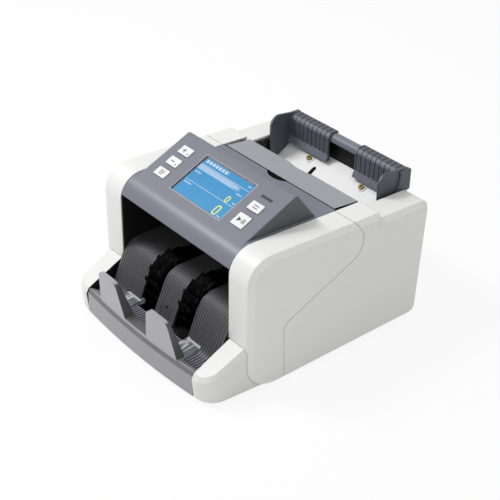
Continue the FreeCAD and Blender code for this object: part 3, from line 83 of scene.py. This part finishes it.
# Pale band: right end, top and bottom
BAND = (0.77, 0.20, 0.315)
# How far the band and the white marks cover the blue field
MARK_COVER = 0.75
# Distance between the dashes of the title and of the captions, in millimetres
TITLE_PITCH = 5.4
CAPTION_PITCH = 2.6
# Noughts: middle as shares of the screen, then half width, half height and stroke in millimetres
SMALL_ZERO = (0.816, 0.545, 2.7, 4.4, 1.35)
LARGE_ZERO = (0.827, 0.850, 3.6, 6.8, 1.7)

# Stacker in millimetres: distance between its ribs, tray floor over its underside, bare lip at its top
RIB_PITCH = 3.8
TRAY_DEPTH = 4.5
STACKER_LIP = 1.0

# Patch without ribs round the stacker's sensor hole: half its width, and its upper edge, in millimetres
SENSOR_PATCH = (8.0, 46.5)

# Heights between which the dark slanted strip along the front plate lies, in millimetres
PLATE_STRIP = (28.0, 33.0)

# Heights between which the top of the low wall between the prongs lies, in millimetres
PLATE_LEDGE = (35.0, 42.0)

# Thickness of the fenders' black lining, in millimetres
LINING_DEPTH = 0.5

# Painted shadow of the gap behind the panel, a dark line along its rear edge: how far it reaches before and behind
# the rearmost line, in millimetres
PANEL_REAR_SHADOW = (1.3, 0.4)

# Width of the painted highlight along the rear edge of the sensor windows, in millimetres
WINDOW_HIGHLIGHT = 8.0

# Rocker in millimetres from its middle. Line: half its width, lower and upper end
ROCKER_LINE = (0.35, 2.0, 4.6)
# Ring: how far down its middle lies, and the squares of its inner and outer radius
ROCKER_RING = (3.3, 1.0, 2.2)

# Signs on the keys, in millimetres from the middle of each key. Bars: place, width and height
KEY_BARS = {
    "upper_left_button": [(-2.0, 0.0, 6.0, 1.1), (-2.0, 0.0, 1.1, 6.0)],
    "middle_left_button": [(-2.0, 0.0, 6.0, 1.1)],
    "lower_left_button": [(0.0, 2.4, 7.5, 1.0), (0.0, 0.0, 7.5, 1.0), (0.0, -2.4, 5.0, 1.0)],
    "upper_right_button": [(0.0, 1.6, 7.5, 1.0), (0.0, -1.6, 7.5, 1.0)],
    "lower_right_button": [(2.6, 0.0, 1.3, 6.0), (5.2, 0.0, 1.3, 6.0)],
}
# Dots and the start arrow: place, radius and number of sides
KEY_DOTS = {
    "upper_left_button": [(5.5, -2.6, 0.9, 24)],
    "middle_left_button": [(5.5, -2.6, 0.9, 24)],
    "lower_right_button": [(-3.2, 0.0, 3.6, 3)],
}
# A quarter turn points the arrow to the right
DOT_TURN = -math.pi / 2
# How far the signs stand proud of the keys
INK_RISE = 0.08

# Width and distance of the ribs on the note guides, in millimetres
GUIDE_RIB_WIDTH = 1.8
GUIDE_RIB_PITCH = 7.4

# Brass screws in millimetres: radius of the head, half the width and half the length of the cross painted dark in
# it as the shade of its recess
SCREW_HEAD = 3.6
CROSS_HALF = (0.55, 2.2)

# Middle of the slot in the hopper floor, and half the width and length of the black painted in and round it as the
# shade of the opening, in millimetres
HOPPER_SLOT = (-33.0, 127.7)
HOPPER_SLOT_HALF = (2.9, 6.2)

# Dark strip in the recess over the right-hand keys: place from the upper key, size and depth
INLAY_PLACE = (0.7, 15.5)
INLAY_SIZE = (16.4, 2.8)
INLAY_SINK = 1.85

# Blacks that several pieces share: black plastic and linings, and painted shade for edges that lie in the shade of
# a gap
DEEP_BLACK = (0.006, 0.006, 0.0065)
SHADE_BLACK = (0.008, 0.008, 0.009)

# How far under its outermost point a piece's outer face may reach, in millimetres
FACE_SLACK = 0.05

# Tilt, upward and outward direction of the control panel, from the way its keys travel
press_axis = next(j["axis"] for j in frame["joints"] if j["name"] == "upper_left_button_press")
PANEL_TILT = math.atan2(press_axis[1], -press_axis[2])
PANEL_UP = Vector((0, math.cos(PANEL_TILT), math.sin(PANEL_TILT)))
PANEL_OUT = Vector((0, -math.sin(PANEL_TILT), math.cos(PANEL_TILT)))


class Value:
    """A number in a shader that can be used in sums."""

    def __init__(self, finish, socket):
        self.finish = finish
        self.socket = socket

    def sum(self, operation, *terms, clamp=False):
        node = self.finish.node("ShaderNodeMath", {"operation": operation, "use_clamp": clamp},
                                dict(enumerate(terms)))
        return Value(self.finish, node.outputs[0])

    def __add__(self, other):
        return self.sum("ADD", self, other)

    __radd__ = __add__

    def __sub__(self, other):
        return self.sum("SUBTRACT", self, other)

    def __rsub__(self, other):
        return self.sum("SUBTRACT", other, self)

    def __mul__(self, other):
        return self.sum("MULTIPLY", self, other)

    __rmul__ = __mul__

    def __truediv__(self, other):
        return self.sum("DIVIDE", self, other)

    def __abs__(self):
        return self.sum("ABSOLUTE", self)

    def root(self):
        return self.sum("SQRT", self)

    def larger(self, other):
        return self.sum("MAXIMUM", self, other)

    def above(self, level, soft):
        """0 below a level, 1 above it, with a soft step."""
        return self.sum("MULTIPLY_ADD", self, 0.5 / soft, 0.5 - 0.5 * level / soft, clamp=True)

    def below(self, level, soft):
        return 1 - self.above(level, soft)

    def between(self, low, high, soft):
        return self.above(low, soft) * self.below(high, soft)

    def wave(self, pitch):
        """0 to 1 and back once in every pitch."""
        return self.sum("SINE", self * (2 * math.pi / pitch)) * 0.5 + 0.5


def past_core(u, v, core_u, core_v):
    """Square of the distance from a rectangle that reaches so far each side of its middle."""
    past_u = (abs(u) - core_u).larger(0)
    past_v = (abs(v) - core_v).larger(0)
    return past_u * past_u + past_v * past_v


class Finish:
    """One material, with the few groups of nodes that the pieces of this machine need."""

    def __init__(self, name, **constants):
        self.material = bpy.data.materials.new(name)
        self.material.use_nodes = True
        self.tree = self.material.node_tree
        self.shader = self.tree.nodes["Principled BSDF"]
        self.output = self.tree.nodes["Material Output"]
        self.base = None
        for socket, value in constants.items():
            self.shader.inputs[socket.replace("_", " ")].default_value = value

    def node(self, kind, settings, sockets):
        node = self.tree.nodes.new(kind)
        for key, value in settings.items():
            setattr(node, key, value)
        for key, value in sockets.items():
            self.plug(node.inputs[key], value)
        return node

    def plug(self, socket, value):
        if isinstance(value, Value):
            value = value.socket
        if isinstance(value, bpy.types.NodeSocket):
            self.tree.links.new(value, socket)
        else:
            socket.default_value = value

    def apart(self, vector):
        """The three numbers of a vector."""
        node = self.node("ShaderNodeSeparateXYZ", {}, {"Vector": vector})
        return [Value(self, socket) for socket in node.outputs]

    def coords(self):
        return self.node("ShaderNodeTexCoord", {}, {}).outputs["Object"]

    def place(self, origin=(0, 0, 0), tilt=0.0):
        """Position on the piece in millimetres, from an origin and tilted about X."""
        mapped = self.node("ShaderNodeMapping", {"vector_type": "TEXTURE"},
                           {"Vector": self.coords(), "Location": origin,
                            "Rotation": (tilt, 0, 0), "Scale": (MM, MM, MM)})
        return self.apart(mapped.outputs[0])

    def facing(self):
        """The way the surface faces at rest, as three numbers: across, deep and up."""
        return self.apart(self.node("ShaderNodeTexCoord", {}, {}).outputs["Normal"])

    def noise(self, size, detail=3.0, stretch=(1, 1, 1)):
        """Cloudy pattern from 0 to 1 whose grains are about so many millimetres across."""
        mapped = self.node("ShaderNodeMapping", {}, {"Vector": self.coords(), "Scale": stretch})
        texture = self.node("ShaderNodeTexNoise", {},
                            {"Vector": mapped.outputs[0], "Scale": 1 / (size * MM), "Detail": detail})
        return Value(self, texture.outputs["Fac"])

    def cells(self, size):
        """Pattern of cells of about so many millimetres, from 0 at their middles."""
        texture = self.node("ShaderNodeTexVoronoi", {},
                            {"Vector": self.coords(), "Scale": 1 / (size * MM)})
        return Value(self, texture.outputs["Distance"])

    def mixed(self, factor, first, second):
        """Colour that goes from the first to the second with the factor."""
        node = self.node("ShaderNodeMix", {"data_type": "RGBA"}, {})
        for index, value in [(0, factor), (6, first), (7, second)]:
            self.plug(node.inputs[index], rgba(value) if isinstance(value, tuple) else value)
        return node.outputs[2]

    def blend(self, factor, first, second):
        """Makes the surface go from the first shader to the second with the factor."""
        mix = self.node("ShaderNodeMixShader", {}, {0: factor, 1: first, 2: second})
        self.plug(self.output.inputs["Surface"], mix.outputs[0])

    def relief(self, height, depth, soft_edge):
        """Surface relief of a depth in millimetres, over edges rounded by a soft radius."""
        edge = self.node("ShaderNodeBevel", {"samples": 4}, {"Radius": soft_edge * MM})
        bump = self.node("ShaderNodeBump", {},
                         {"Height": height, "Distance": depth * MM, "Strength": 1.0,
                          "Normal": edge.outputs[0]})
        self.plug(self.shader.inputs["Normal"], bump.outputs[0])

    def colour(self, value):
        self.plug(self.shader.inputs["Base Color"], rgba(value) if isinstance(value, tuple) else value)

    def rough(self, value):
        self.plug(self.shader.inputs["Roughness"], value)


def rgba(colour):
    return (*colour, 1.0)


def shade(colour, share):
    return tuple(share * c for c in colour)


def moulded(name, colour, roughness, grain=0.35, depth=0.02, edge=0.4, mottle=0.05, gloss=0.5):
    """Moulded plastic: fine grain, slight mottling, and sheen that varies a little."""
    finish = Finish(name, IOR=1.47, Specular_IOR_Level=gloss)
    cloud = finish.noise(45, detail=2.0)
    fine = finish.noise(grain, detail=2.0)
    finish.base = finish.mixed(cloud, shade(colour, 1 - mottle), shade(colour, 1 + mottle))
    finish.colour(finish.base)
    finish.rough(fine * 0.10 + cloud * 0.06 + (roughness - 0.08))
    finish.relief(fine, depth, edge)
    return finish


def white_shell(name, colour):
    """Smooth white plastic with well rounded edges."""
    return moulded(name, colour, 0.42, grain=0.5, depth=0.015, edge=1.3, mottle=0.012)


def drawn_metal(name, colour, roughness, stretch):
    """Metal with fine lines along the way it was drawn or turned."""
    finish = Finish(name, Metallic=1.0)
    lines = finish.noise(0.8, detail=4.0, stretch=stretch)
    stains = finish.noise(12.0)
    finish.colour(finish.mixed(stains, shade(colour, 0.9), colour))
    finish.rough(lines * 0.18 + stains * 0.08 + (roughness - 0.13))
    finish.relief(lines, 0.01, 0.15)
    return finish


def cover_white():
    return white_shell("cover_white", (0.82, 0.82, 0.81))


def lined_white():
    """White fender, its white set darker than the covers' as painted shade for its forward-tilted top, with a
    black lining on the side towards the tray.
    """
    finish = white_shell("lined_white", (0.77, 0.77, 0.76))
    inner_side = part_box("right_fender")[0].x / MM
    x, _, _ = finish.place()
    finish.colour(finish.mixed(abs(x).below(inner_side + LINING_DEPTH, 0.1), finish.base, DEEP_BLACK))
    return finish


def plate_grey():
    """Light grey front plate: mid grey face and darker slanted strip, with the sides of the prongs darkened as
    painted shade and the top of the low wall between them darkened as the painted shadow of the prongs.
    """
    finish = moulded("plate_grey", (0.410, 0.410, 0.428), 0.36, edge=1.0, mottle=0.03)
    _, _, z = finish.place()
    across, deep, up = finish.facing()
    strip_low, strip_high = PLATE_STRIP
    forward = deep.below(-0.3, 0.05)
    strip = z.between(strip_low, strip_high, 0.3) * up.between(0.2, 0.8, 0.05) * forward
    # Sides of the prongs darkened: painted shade
    cheek_shade = abs(across).above(0.6, 0.1) * z.above(strip_high, 1.0)
    face = z.below(strip_low, 0.3) * forward
    # Top of the low wall between the prongs darkened: painted shadow of the prongs
    ledge_shadow = z.between(*PLATE_LEDGE, 0.5) * up.above(0.85, 0.05)
    tone = finish.mixed(cheek_shade, finish.base, (0.100, 0.100, 0.108))
    tone = finish.mixed(ledge_shadow, tone, (0.150, 0.151, 0.163))
    tone = finish.mixed(face, tone, (0.322, 0.322, 0.336))
    finish.colour(finish.mixed(strip, tone, (0.165, 0.165, 0.175)))
    return finish


def panel_grey():
    """Textured control panel with a pale rim round the screen, its cheeks darkened as painted shade, and its rear
    edge painted dark as the shadow of the gap behind it.
    """
    finish = moulded("panel_grey", (0.190, 0.196, 0.236), 0.36, grain=0.45, depth=0.03, edge=0.9,
                     mottle=0.03, gloss=0.42)
    across, _, up = finish.facing()
    u, v, _ = finish.place(origin=screen_middle(), tilt=PANEL_TILT)
    half_width, half_height = (size / 2 + SCREEN_RIM for size in SCREEN_SIZE)
    rim = abs(u).below(half_width, 0.3) * abs(v).below(half_height, 0.3)
    _, y, _ = finish.place()
    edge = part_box("control_panel_housing")[1].y / MM
    before, behind = PANEL_REAR_SHADOW
    # Painted shadow: a dark line along the rear edge, where the gap to the flap lies
    rear = y.between(edge - before, edge + behind, 0.1)
    # Cheeks that face sideways darkened: painted shade
    tone = finish.mixed(abs(across).above(0.7, 0.1), finish.base, (0.097, 0.099, 0.109))
    tone = finish.mixed(rim * up.above(0.5, 0.1), tone, (0.34, 0.35, 0.39))
    finish.colour(finish.mixed(rear, tone, SHADE_BLACK))
    return finish


def flap_grey():
    """Grey flap whose two ends and front lip are painted near black as the shade of the gaps beside them."""
    finish = moulded("flap_grey", (0.34, 0.34, 0.375), 0.52, grain=0.45, depth=0.03, mottle=0.03)
    across, deep, _ = finish.facing()
    # Painted shade: the ends and the front lip darkened for the dark gaps beside them
    gap_shade = abs(across).above(0.7, 0.1).larger(deep.below(-0.6, 0.1))
    finish.colour(finish.mixed(gap_shade, finish.base, SHADE_BLACK))
    return finish


def guide_slate():
    """Slate guides with pale lines along the rib edges and a paler lip and shoulder, painted highlights where
    these catch the light.
    """
    finish = moulded("guide_slate", (0.078, 0.083, 0.104), 0.44, edge=0.5, mottle=0.06)
    inner_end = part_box("right_note_guide")[0].x / MM
    x, _, _ = finish.place()
    across, deep, up = finish.facing()
    step = GUIDE_RIB_PITCH / 2
    along = abs(x) - (inner_end + GUIDE_RIB_WIDTH / 2 - step / 4)
    # Pale lines along the rib edges: painted highlights
    line = along.wave(step).above(0.80, 0.15) * abs(across).below(0.4, 0.1) * deep.below(0.2, 0.1)
    # Lip and shoulder, tilted up and forward, made paler: painted highlight
    lit_slope = up.between(0.25, 0.75, 0.15) * deep.below(-0.5, 0.1)
    tone = finish.mixed(lit_slope, finish.base, (0.128, 0.134, 0.166))
    pale = finish.mixed(lit_slope, (0.125, 0.130, 0.158), (0.27, 0.28, 0.335))
    finish.colour(finish.mixed(line, tone, pale))
    return finish


def stacker_dark():
    """Dark ribbed moulding with pale lines along its rib crests, painted highlights, which are cooler and much
    lighter on the tray floor.
    """
    finish = moulded("stacker_dark", (0.068, 0.068, 0.072), 0.50, edge=0.1, mottle=0.06, gloss=0.35)
    low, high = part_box("stacker_plate")
    x, _, z = finish.place()
    patch_half, patch_top = SENSOR_PATCH
    bare = abs(x).below(patch_half, 0.2) * z.below(patch_top, 0.3)
    # Rib crests made paler: painted highlights
    crest_highlight = (x + RIB_PITCH / 4).wave(RIB_PITCH).above(0.75, 0.15)
    lined = crest_highlight * z.below(high.z / MM - STACKER_LIP, 1.0) * (1 - bare)
    plate = finish.mixed(lined, finish.base, (0.150, 0.150, 0.158))
    tray = finish.mixed(crest_highlight, (0.060, 0.058, 0.075), (0.34, 0.335, 0.41))
    finish.colour(finish.mixed(z.below(low.z / MM + TRAY_DEPTH, 0.4), plate, tray))
    return finish


def black_plastic():
    return moulded("black_plastic", DEEP_BLACK, 0.45, edge=0.25, mottle=0.1, gloss=0.25)


def hopper_white():
    """White hopper floor, painted black in and round its sensor slot as the shade of the opening."""
    finish = moulded("hopper_white", (0.94, 0.94, 0.94), 0.45, edge=0.3, mottle=0.01)
    x, y, _ = finish.place()
    (middle_x, middle_y), (half_x, half_y) = HOPPER_SLOT, HOPPER_SLOT_HALF
    # Slot walls and a narrow rim round them painted black: painted shade of the opening
    lining = past_core(x - middle_x, y - middle_y, 0, half_y - half_x).below(half_x ** 2, 0.8)
    finish.colour(finish.mixed(lining, finish.base, (0.006, 0.006, 0.006)))
    return finish


def button_white():
    return moulded("button_white", (0.82, 0.82, 0.83), 0.30, depth=0.006, mottle=0.01)


def black_rubber():
    """Soft rubber, nearly black, with faint paler streaks round the petals."""
    finish = moulded("black_rubber", (0.0015, 0.0015, 0.0016), 0.6, grain=0.3, edge=0.1, mottle=0.2,
                     gloss=0.03)
    pale_streak = finish.noise(1.6, detail=1.0, stretch=(1, 0.12, 0.12)).above(0.66, 0.05)
    finish.colour(finish.mixed(pale_streak, finish.base, (0.034, 0.034, 0.036)))
    return finish


def grey_rubber():
    """Roller rubber with fine ground lines round it."""
    finish = moulded("grey_rubber", (0.06, 0.06, 0.066), 0.62, edge=0.3, mottle=0.08)
    x, _, _ = finish.place()
    finish.relief(x.wave(1.2), 0.05, 0.3)
    return finish


def frame_black():
    """Powder-coated steel with its fine orange-peel skin."""
    return moulded("frame_black", DEEP_BLACK, 0.55, grain=0.9, depth=0.03, edge=0.2, mottle=0.1)


def rocker_black():
    """Black rocker with a white line and ring at its two ends."""
    finish = moulded("rocker_black", (0.012, 0.012, 0.013), 0.35, edge=0.3, mottle=0.1)
    low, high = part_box("power_rocker")
    x, _, z = finish.place(origin=tuple((low + high) / 2))
    _, deep, _ = finish.facing()
    half_width, line_low, line_high = ROCKER_LINE
    line = abs(x).below(half_width, 0.08) * z.between(line_low, line_high, 0.08)
    drop, inner_square, outer_square = ROCKER_RING
    ring = past_core(x, z + drop, 0, 0).between(inner_square, outer_square, 0.2)
    outside = deep.above(0.3, 0.05)
    finish.colour(finish.mixed(line.larger(ring) * outside, finish.base, (0.75, 0.75, 0.75)))
    return finish


def frame_steel():
    """Plated sheet steel with a faint spangle."""
    finish = Finish("frame_steel", Metallic=1.0)
    spangle = finish.cells(6.0)
    fine = finish.noise(1.0)
    finish.colour(finish.mixed(spangle, (0.46, 0.47, 0.48), (0.60, 0.61, 0.62)))
    finish.rough(spangle * 0.16 + fine * 0.08 + 0.24)
    finish.relief(fine, 0.006, 0.2)
    return finish


def motor_metal():
    """Dark plated can of the motor."""
    finish = Finish("motor_metal", Metallic=0.8)
    fine = finish.noise(1.5)
    finish.colour(finish.mixed(fine, (0.10, 0.10, 0.11), (0.16, 0.16, 0.175)))
    finish.rough(fine * 0.2 + 0.3)
    finish.relief(fine, 0.02, 0.4)
    return finish


def circuit_board():
    """Green board with paler copper runs under the lacquer."""
    finish = Finish("circuit_board", Coat_Weight=0.5)
    x, _, z = finish.place()
    runs = x.wave(2.4).above(0.8, 0.08).larger(z.wave(3.1).above(0.85, 0.08))
    patches = finish.noise(9.0).above(0.52, 0.02)
    copper = runs * patches
    finish.colour(finish.mixed(copper, (0.010, 0.075, 0.030), (0.035, 0.17, 0.065)))
    finish.rough(patches * 0.1 + 0.3)
    finish.relief(copper, 0.02, 0.1)
    return finish


def brass():
    """Brass screws with a dark cross painted in each head as the shade of its recess."""
    head = (0.21, 0.175, 0.062)
    finish = drawn_metal("brass", head, 0.45, (1, 1, 6))
    low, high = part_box("hopper_screws")
    x, y, _ = finish.place(origin=tuple((low + high) / 2))
    out = abs(abs(x) - ((high.x - low.x) / 2 / MM - SCREW_HEAD))
    narrow, long = CROSS_HALF
    # Dark cross: painted shade of the recess
    cross = out.below(narrow, 0.1) * abs(y).below(long, 0.1)
    cross = cross.larger(out.below(long, 0.1) * abs(y).below(narrow, 0.1))
    finish.colour(finish.mixed(cross, head, (0.03, 0.026, 0.016)))
    return finish


def steel():
    return drawn_metal("steel", (0.58, 0.58, 0.60), 0.30, (0.1, 1, 1))


def clear_window():
    """Clear sensor window with a painted highlight along its rear edge and pale painted streaks of highlight along
    it.
    """
    finish = Finish("clear_window", IOR=1.49, Transmission_Weight=0.2)
    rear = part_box("sensor_windows")[1].y / MM
    x, y, _ = finish.place()
    streak = finish.noise(4.0, detail=1.0, stretch=(1, 0.15, 0.15)).above(0.58, 0.05)
    # Rear edge and streaks made near white: painted highlights
    painted_highlight = y.above(rear - WINDOW_HIGHLIGHT, 1.5).larger(streak * 0.7)
    finish.colour(finish.mixed(painted_highlight, (0.20, 0.20, 0.235), (0.95, 0.95, 1.0)))
    finish.rough(streak * 0.25 + 0.06)
    finish.relief(x.wave(1.6), 0.03, 0.2)
    return finish


def display_glass():
    """Thin clear sheet that only reflects at a slant."""
    finish = Finish("display_glass")
    finish.colour((0.01, 0.01, 0.012))
    finish.rough(finish.noise(14.0) * 0.05 + 0.03)
    clear = finish.node("ShaderNodeBsdfTransparent", {}, {})
    gloss = Value(finish, finish.node("ShaderNodeFresnel", {}, {"IOR": 1.45}).outputs[0])
    inside = Value(finish, finish.node("ShaderNodeNewGeometry", {}, {}).outputs["Backfacing"])
    finish.blend(gloss * (1 - inside), clear.outputs[0], finish.shader.outputs[0])
    return finish


def zero(across, down, figure):
    """A nought on the screen: a stroke of even width round an upright core."""
    middle_x, middle_y, half_width, half_height, stroke = figure
    u = (across - middle_x) * SCREEN_SIZE[0]
    v = (down - middle_y) * SCREEN_SIZE[1]
    distance = past_core(u, v, 0, half_height - half_width).root()
    return distance.between(half_width - stroke, half_width, 0.12)


def display():
    """Lit colour screen: blue field, pale band, fine rules, dashed lines and two noughts."""
    finish = Finish("display", Specular_IOR_Level=0.0, Emission_Strength=1.0)
    u, v, out = finish.place(origin=screen_middle(), tilt=PANEL_TILT)
    across = u / SCREEN_SIZE[0] + 0.5
    down = 0.5 - v / SCREEN_SIZE[1]
    band_end, band_top, band_bottom = BAND
    band = across.below(band_end, 0.10) * down.between(band_top, band_bottom, 0.004)
    white = 0
    for left, right, top in RULES:
        rule = across.between(left, right, 0.004) * down.between(top, top + RULE_HEIGHT, 0.003)
        white = rule.larger(white)
    lines = [(*TITLE, TITLE_HEIGHT, TITLE_PITCH)]
    lines += [(*caption, CAPTION_HEIGHT, CAPTION_PITCH) for caption in CAPTIONS]
    for left, right, top, tall, pitch in lines:
        dashes = u.wave(pitch).above(0.22, 0.1)
        bar = across.between(left, right, 0.004) * down.between(top, top + tall, 0.004)
        white = (bar * dashes).larger(white)
    yellow = zero(across, down, SMALL_ZERO).larger(zero(across, down, LARGE_ZERO))
    core_u, core_v = (size / 2 - SCREEN_SHOULDER - SCREEN_CORNER for size in SCREEN_SIZE)
    corner = past_core(u, v, core_u, core_v).above(SCREEN_CORNER ** 2, 0.4)
    field = finish.mixed(down, (0.075, 0.330, 0.640), (0.100, 0.370, 0.680))
    field = finish.mixed(band * MARK_COVER, field, (0.55, 0.72, 0.90))
    field = finish.mixed(white * MARK_COVER, field, (0.85, 0.92, 1.0))
    field = finish.mixed(yellow, field, (0.90, 0.95, 0.22))
    field = finish.mixed(corner, field, (0.17, 0.175, 0.20))
    field = finish.mixed(out.above(-0.2, 0.05), (0.01, 0.01, 0.01), field)
    finish.plug(finish.shader.inputs["Emission Color"], field)
    finish.colour((0.01, 0.012, 0.015))
    finish.rough(finish.noise(0.3) * 0.1 + 0.6)
    return finish


def ink(name, colour):
    """Printed marks, a little uneven."""
    finish = Finish(name)
    fine = finish.noise(0.2)
    finish.colour(finish.mixed(fine, shade(colour, 0.7), shade(colour, 1.3)))
    finish.rough(fine * 0.1 + 0.45)
    return finish


def panel_spot(node):
    """Middle of a piece's outer face on the panel, in metres."""
    points = [v.co for v in frame["nodes"][node].data.vertices]
    out = max(p.dot(PANEL_OUT) for p in points)
    face = [p for p in points if p.dot(PANEL_OUT) > out - FACE_SLACK * MM]
    across = [p.x for p in face]
    up = [p.dot(PANEL_UP) for p in face]
    middle = Vector(((min(across) + max(across)) / 2, 0, 0))
    return middle + PANEL_UP * (min(up) + max(up)) / 2 + PANEL_OUT * out


def screen_middle():
    return tuple(panel_spot("display_module"))


def paint():
    """Gives every piece the finish of its slot, then the rocker and the fenders their own."""
    finishes = {f.__name__: f() for f in [
        cover_white, plate_grey, panel_grey, flap_grey, guide_slate, stacker_dark, black_plastic,
        hopper_white, button_white, display, display_glass, clear_window, black_rubber, grey_rubber,
        frame_black, frame_steel, steel, motor_metal, circuit_board, brass]}
    for piece in frame["record"]["subparts"]:
        slots = frame["nodes"][piece["node"]].data.materials
        slots.clear()
        slots.append(finishes[piece["material_slot"]].material)
    lining = lined_white().material
    own = {"power_rocker": rocker_black().material, "left_fender": lining, "right_fender": lining}
    for node, material in own.items():
        frame["nodes"][node].data.materials[0] = material


def start():
    """Nothing selected, in object mode."""
    if bpy.context.object and bpy.context.object.mode != "OBJECT":
        bpy.ops.object.mode_set(mode="OBJECT")
    bpy.ops.object.select_all(action="DESELECT")


def soften(width):
    """Rounds the edges of the active object by a width in millimetres."""
    soft = bpy.context.object.modifiers.new("soft", "BEVEL")
    soft.width = width * MM
    soft.segments = 2
    bpy.ops.object.modifier_apply(modifier="soft")


def settle(name, finish, body):
    """Puts the place of the active object into its mesh, paints it and lets it ride on a body."""
    piece = bpy.context.object
    piece.name = name
    bpy.ops.object.transform_apply(location=True, rotation=True, scale=True)
    piece.data.materials.clear()
    piece.data.materials.append(finish.material)
    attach(piece, body)


def flat_shape(spot, across, up, size, sides, turn=0.0):
    """Thin bar (sides 4) or many-sided dot lying on the panel, its place measured from a spot."""
    if sides == 4:
        bpy.ops.mesh.primitive_cube_add(size=1)
        width, height = size
    else:
        bpy.ops.mesh.primitive_cylinder_add(vertices=sides, radius=1, depth=1)
        width, height = size, size
    shape = bpy.context.object
    middle = spot + Vector((across * MM, 0, 0)) + PANEL_UP * (up * MM)
    tilt = Matrix.Rotation(PANEL_TILT, 4, "X") @ Matrix.Rotation(turn, 4, "Z")
    stretch = Matrix.Diagonal((width * MM, height * MM, 2 * INK_RISE * MM, 1))
    shape.matrix_world = Matrix.Translation(middle) @ tilt @ stretch
    bpy.ops.object.transform_apply(location=True, rotation=True, scale=True)
    return shape


def key_signs():
    """Printed signs on the keys, a little proud of the caps, each riding on its key."""
    print_finish = ink("key_print", (0.035, 0.035, 0.04))
    for key, bars in KEY_BARS.items():
        spot = panel_spot(key)
        start()
        shapes = [flat_shape(spot, x, y, (w, h), 4) for x, y, w, h in bars]
        for x, y, radius, sides in KEY_DOTS.get(key, []):
            shapes.append(flat_shape(spot, x, y, radius, sides, DOT_TURN))
        bpy.ops.object.select_all(action="DESELECT")
        for shape in shapes:
            shape.select_set(True)
        bpy.context.view_layer.objects.active = shapes[0]
        bpy.ops.object.join()
        soften(INK_RISE / 2)
        settle(key.replace("button", "sign"), print_finish, key + "_key")


def slot_inlay():
    """Dark strip that lies in the narrow recess beside the screen."""
    spot = panel_spot("upper_right_button")
    start()
    flat_shape(spot - PANEL_OUT * (INLAY_SINK * MM), *INLAY_PLACE, INLAY_SIZE, 4)
    soften(INK_RISE)
    settle("slot_inlay", ink("inlay_dark", (0.03, 0.028, 0.03)), "machine_body")


def camera():
    """Camera at its place, turned about its own axis by the roll."""
    azimuth, elevation, roll = map(math.radians, (CAMERA_AZIMUTH, CAMERA_ELEVATION, CAMERA_ROLL))
    back = Vector((math.sin(azimuth) * math.cos(elevation), -math.cos(azimuth) * math.cos(elevation),
                   math.sin(elevation)))
    right = Vector((math.cos(azimuth), math.sin(azimuth), 0))
    up = back.cross(right)
    turned_right = right * math.cos(roll) + up * math.sin(roll)
    turned_up = up * math.cos(roll) - right * math.sin(roll)
    data = bpy.data.cameras.new("camera")
    data.lens = CAMERA_LENS
    data.sensor_width = SENSOR
    data.clip_end = CAMERA_REACH
    eye = bpy.data.objects.new("camera", data)
    turn = Matrix((turned_right, turned_up, back)).transposed().to_4x4()
    eye.matrix_world = Matrix.Translation(Vector(CAMERA_PLACE) * MM) @ turn
    bpy.context.scene.collection.objects.link(eye)
    bpy.context.scene.camera = eye


def floor():
    """White floor that still takes a soft shadow."""
    start()
    bpy.ops.mesh.primitive_plane_add(size=FLOOR_WIDTH)
    plane = bpy.context.object
    plane.name = "floor"
    finish = Finish("floor", Roughness=0.9)
    finish.colour(FLOOR_COLOUR)
    paths = finish.node("ShaderNodeLightPath", {}, {})
    seen = Value(finish, paths.outputs["Is Camera Ray"])
    for ray in ["Is Glossy Ray", "Is Transmission Ray"]:
        seen = seen.larger(Value(finish, paths.outputs[ray]))
    white = finish.node("ShaderNodeEmission", {}, {"Strength": 1.0})
    finish.blend(seen * FLOOR_GLOW, finish.shader.outputs[0], white.outputs[0])
    plane.data.materials.append(finish.material)


def surroundings():
    """Even white studio, dimmer as a light than as it is seen."""
    world = bpy.data.worlds.new("studio")
    bpy.context.scene.world = world
    world.use_nodes = True
    tree = world.node_tree
    light = tree.nodes["Background"]
    seen = tree.nodes.new("ShaderNodeBackground")
    for background, strength in [(light, STUDIO_LIGHT), (seen, STUDIO_SEEN)]:
        background.inputs["Color"].default_value = rgba((1, 1, 1))
        background.inputs["Strength"].default_value = strength
    paths = tree.nodes.new("ShaderNodeLightPath")
    mix = tree.nodes.new("ShaderNodeMixShader")
    tree.links.new(paths.outputs["Is Camera Ray"], mix.inputs[0])
    tree.links.new(light.outputs[0], mix.inputs[1])
    tree.links.new(seen.outputs[0], mix.inputs[2])
    tree.links.new(mix.outputs[0], tree.nodes["World Output"].inputs["Surface"])


def lamp(name, place, aim, size, power):
    """Round soft lamp that points at its aim."""
    data = bpy.data.lights.new(name, "AREA")
    data.shape = "DISK"
    data.size = size
    data.energy = power
    light = bpy.data.objects.new(name, data)
    turn = (Vector(aim) - Vector(place)).to_track_quat("-Z", "Y").to_matrix().to_4x4()
    light.matrix_world = Matrix.Translation(place) @ turn
    bpy.context.scene.collection.objects.link(light)


paint()
key_signs()
slot_inlay()
camera()
floor()
surroundings()
for settings in LAMPS:
    lamp(*settings)
bpy.context.scene.view_settings.view_transform = "Standard"
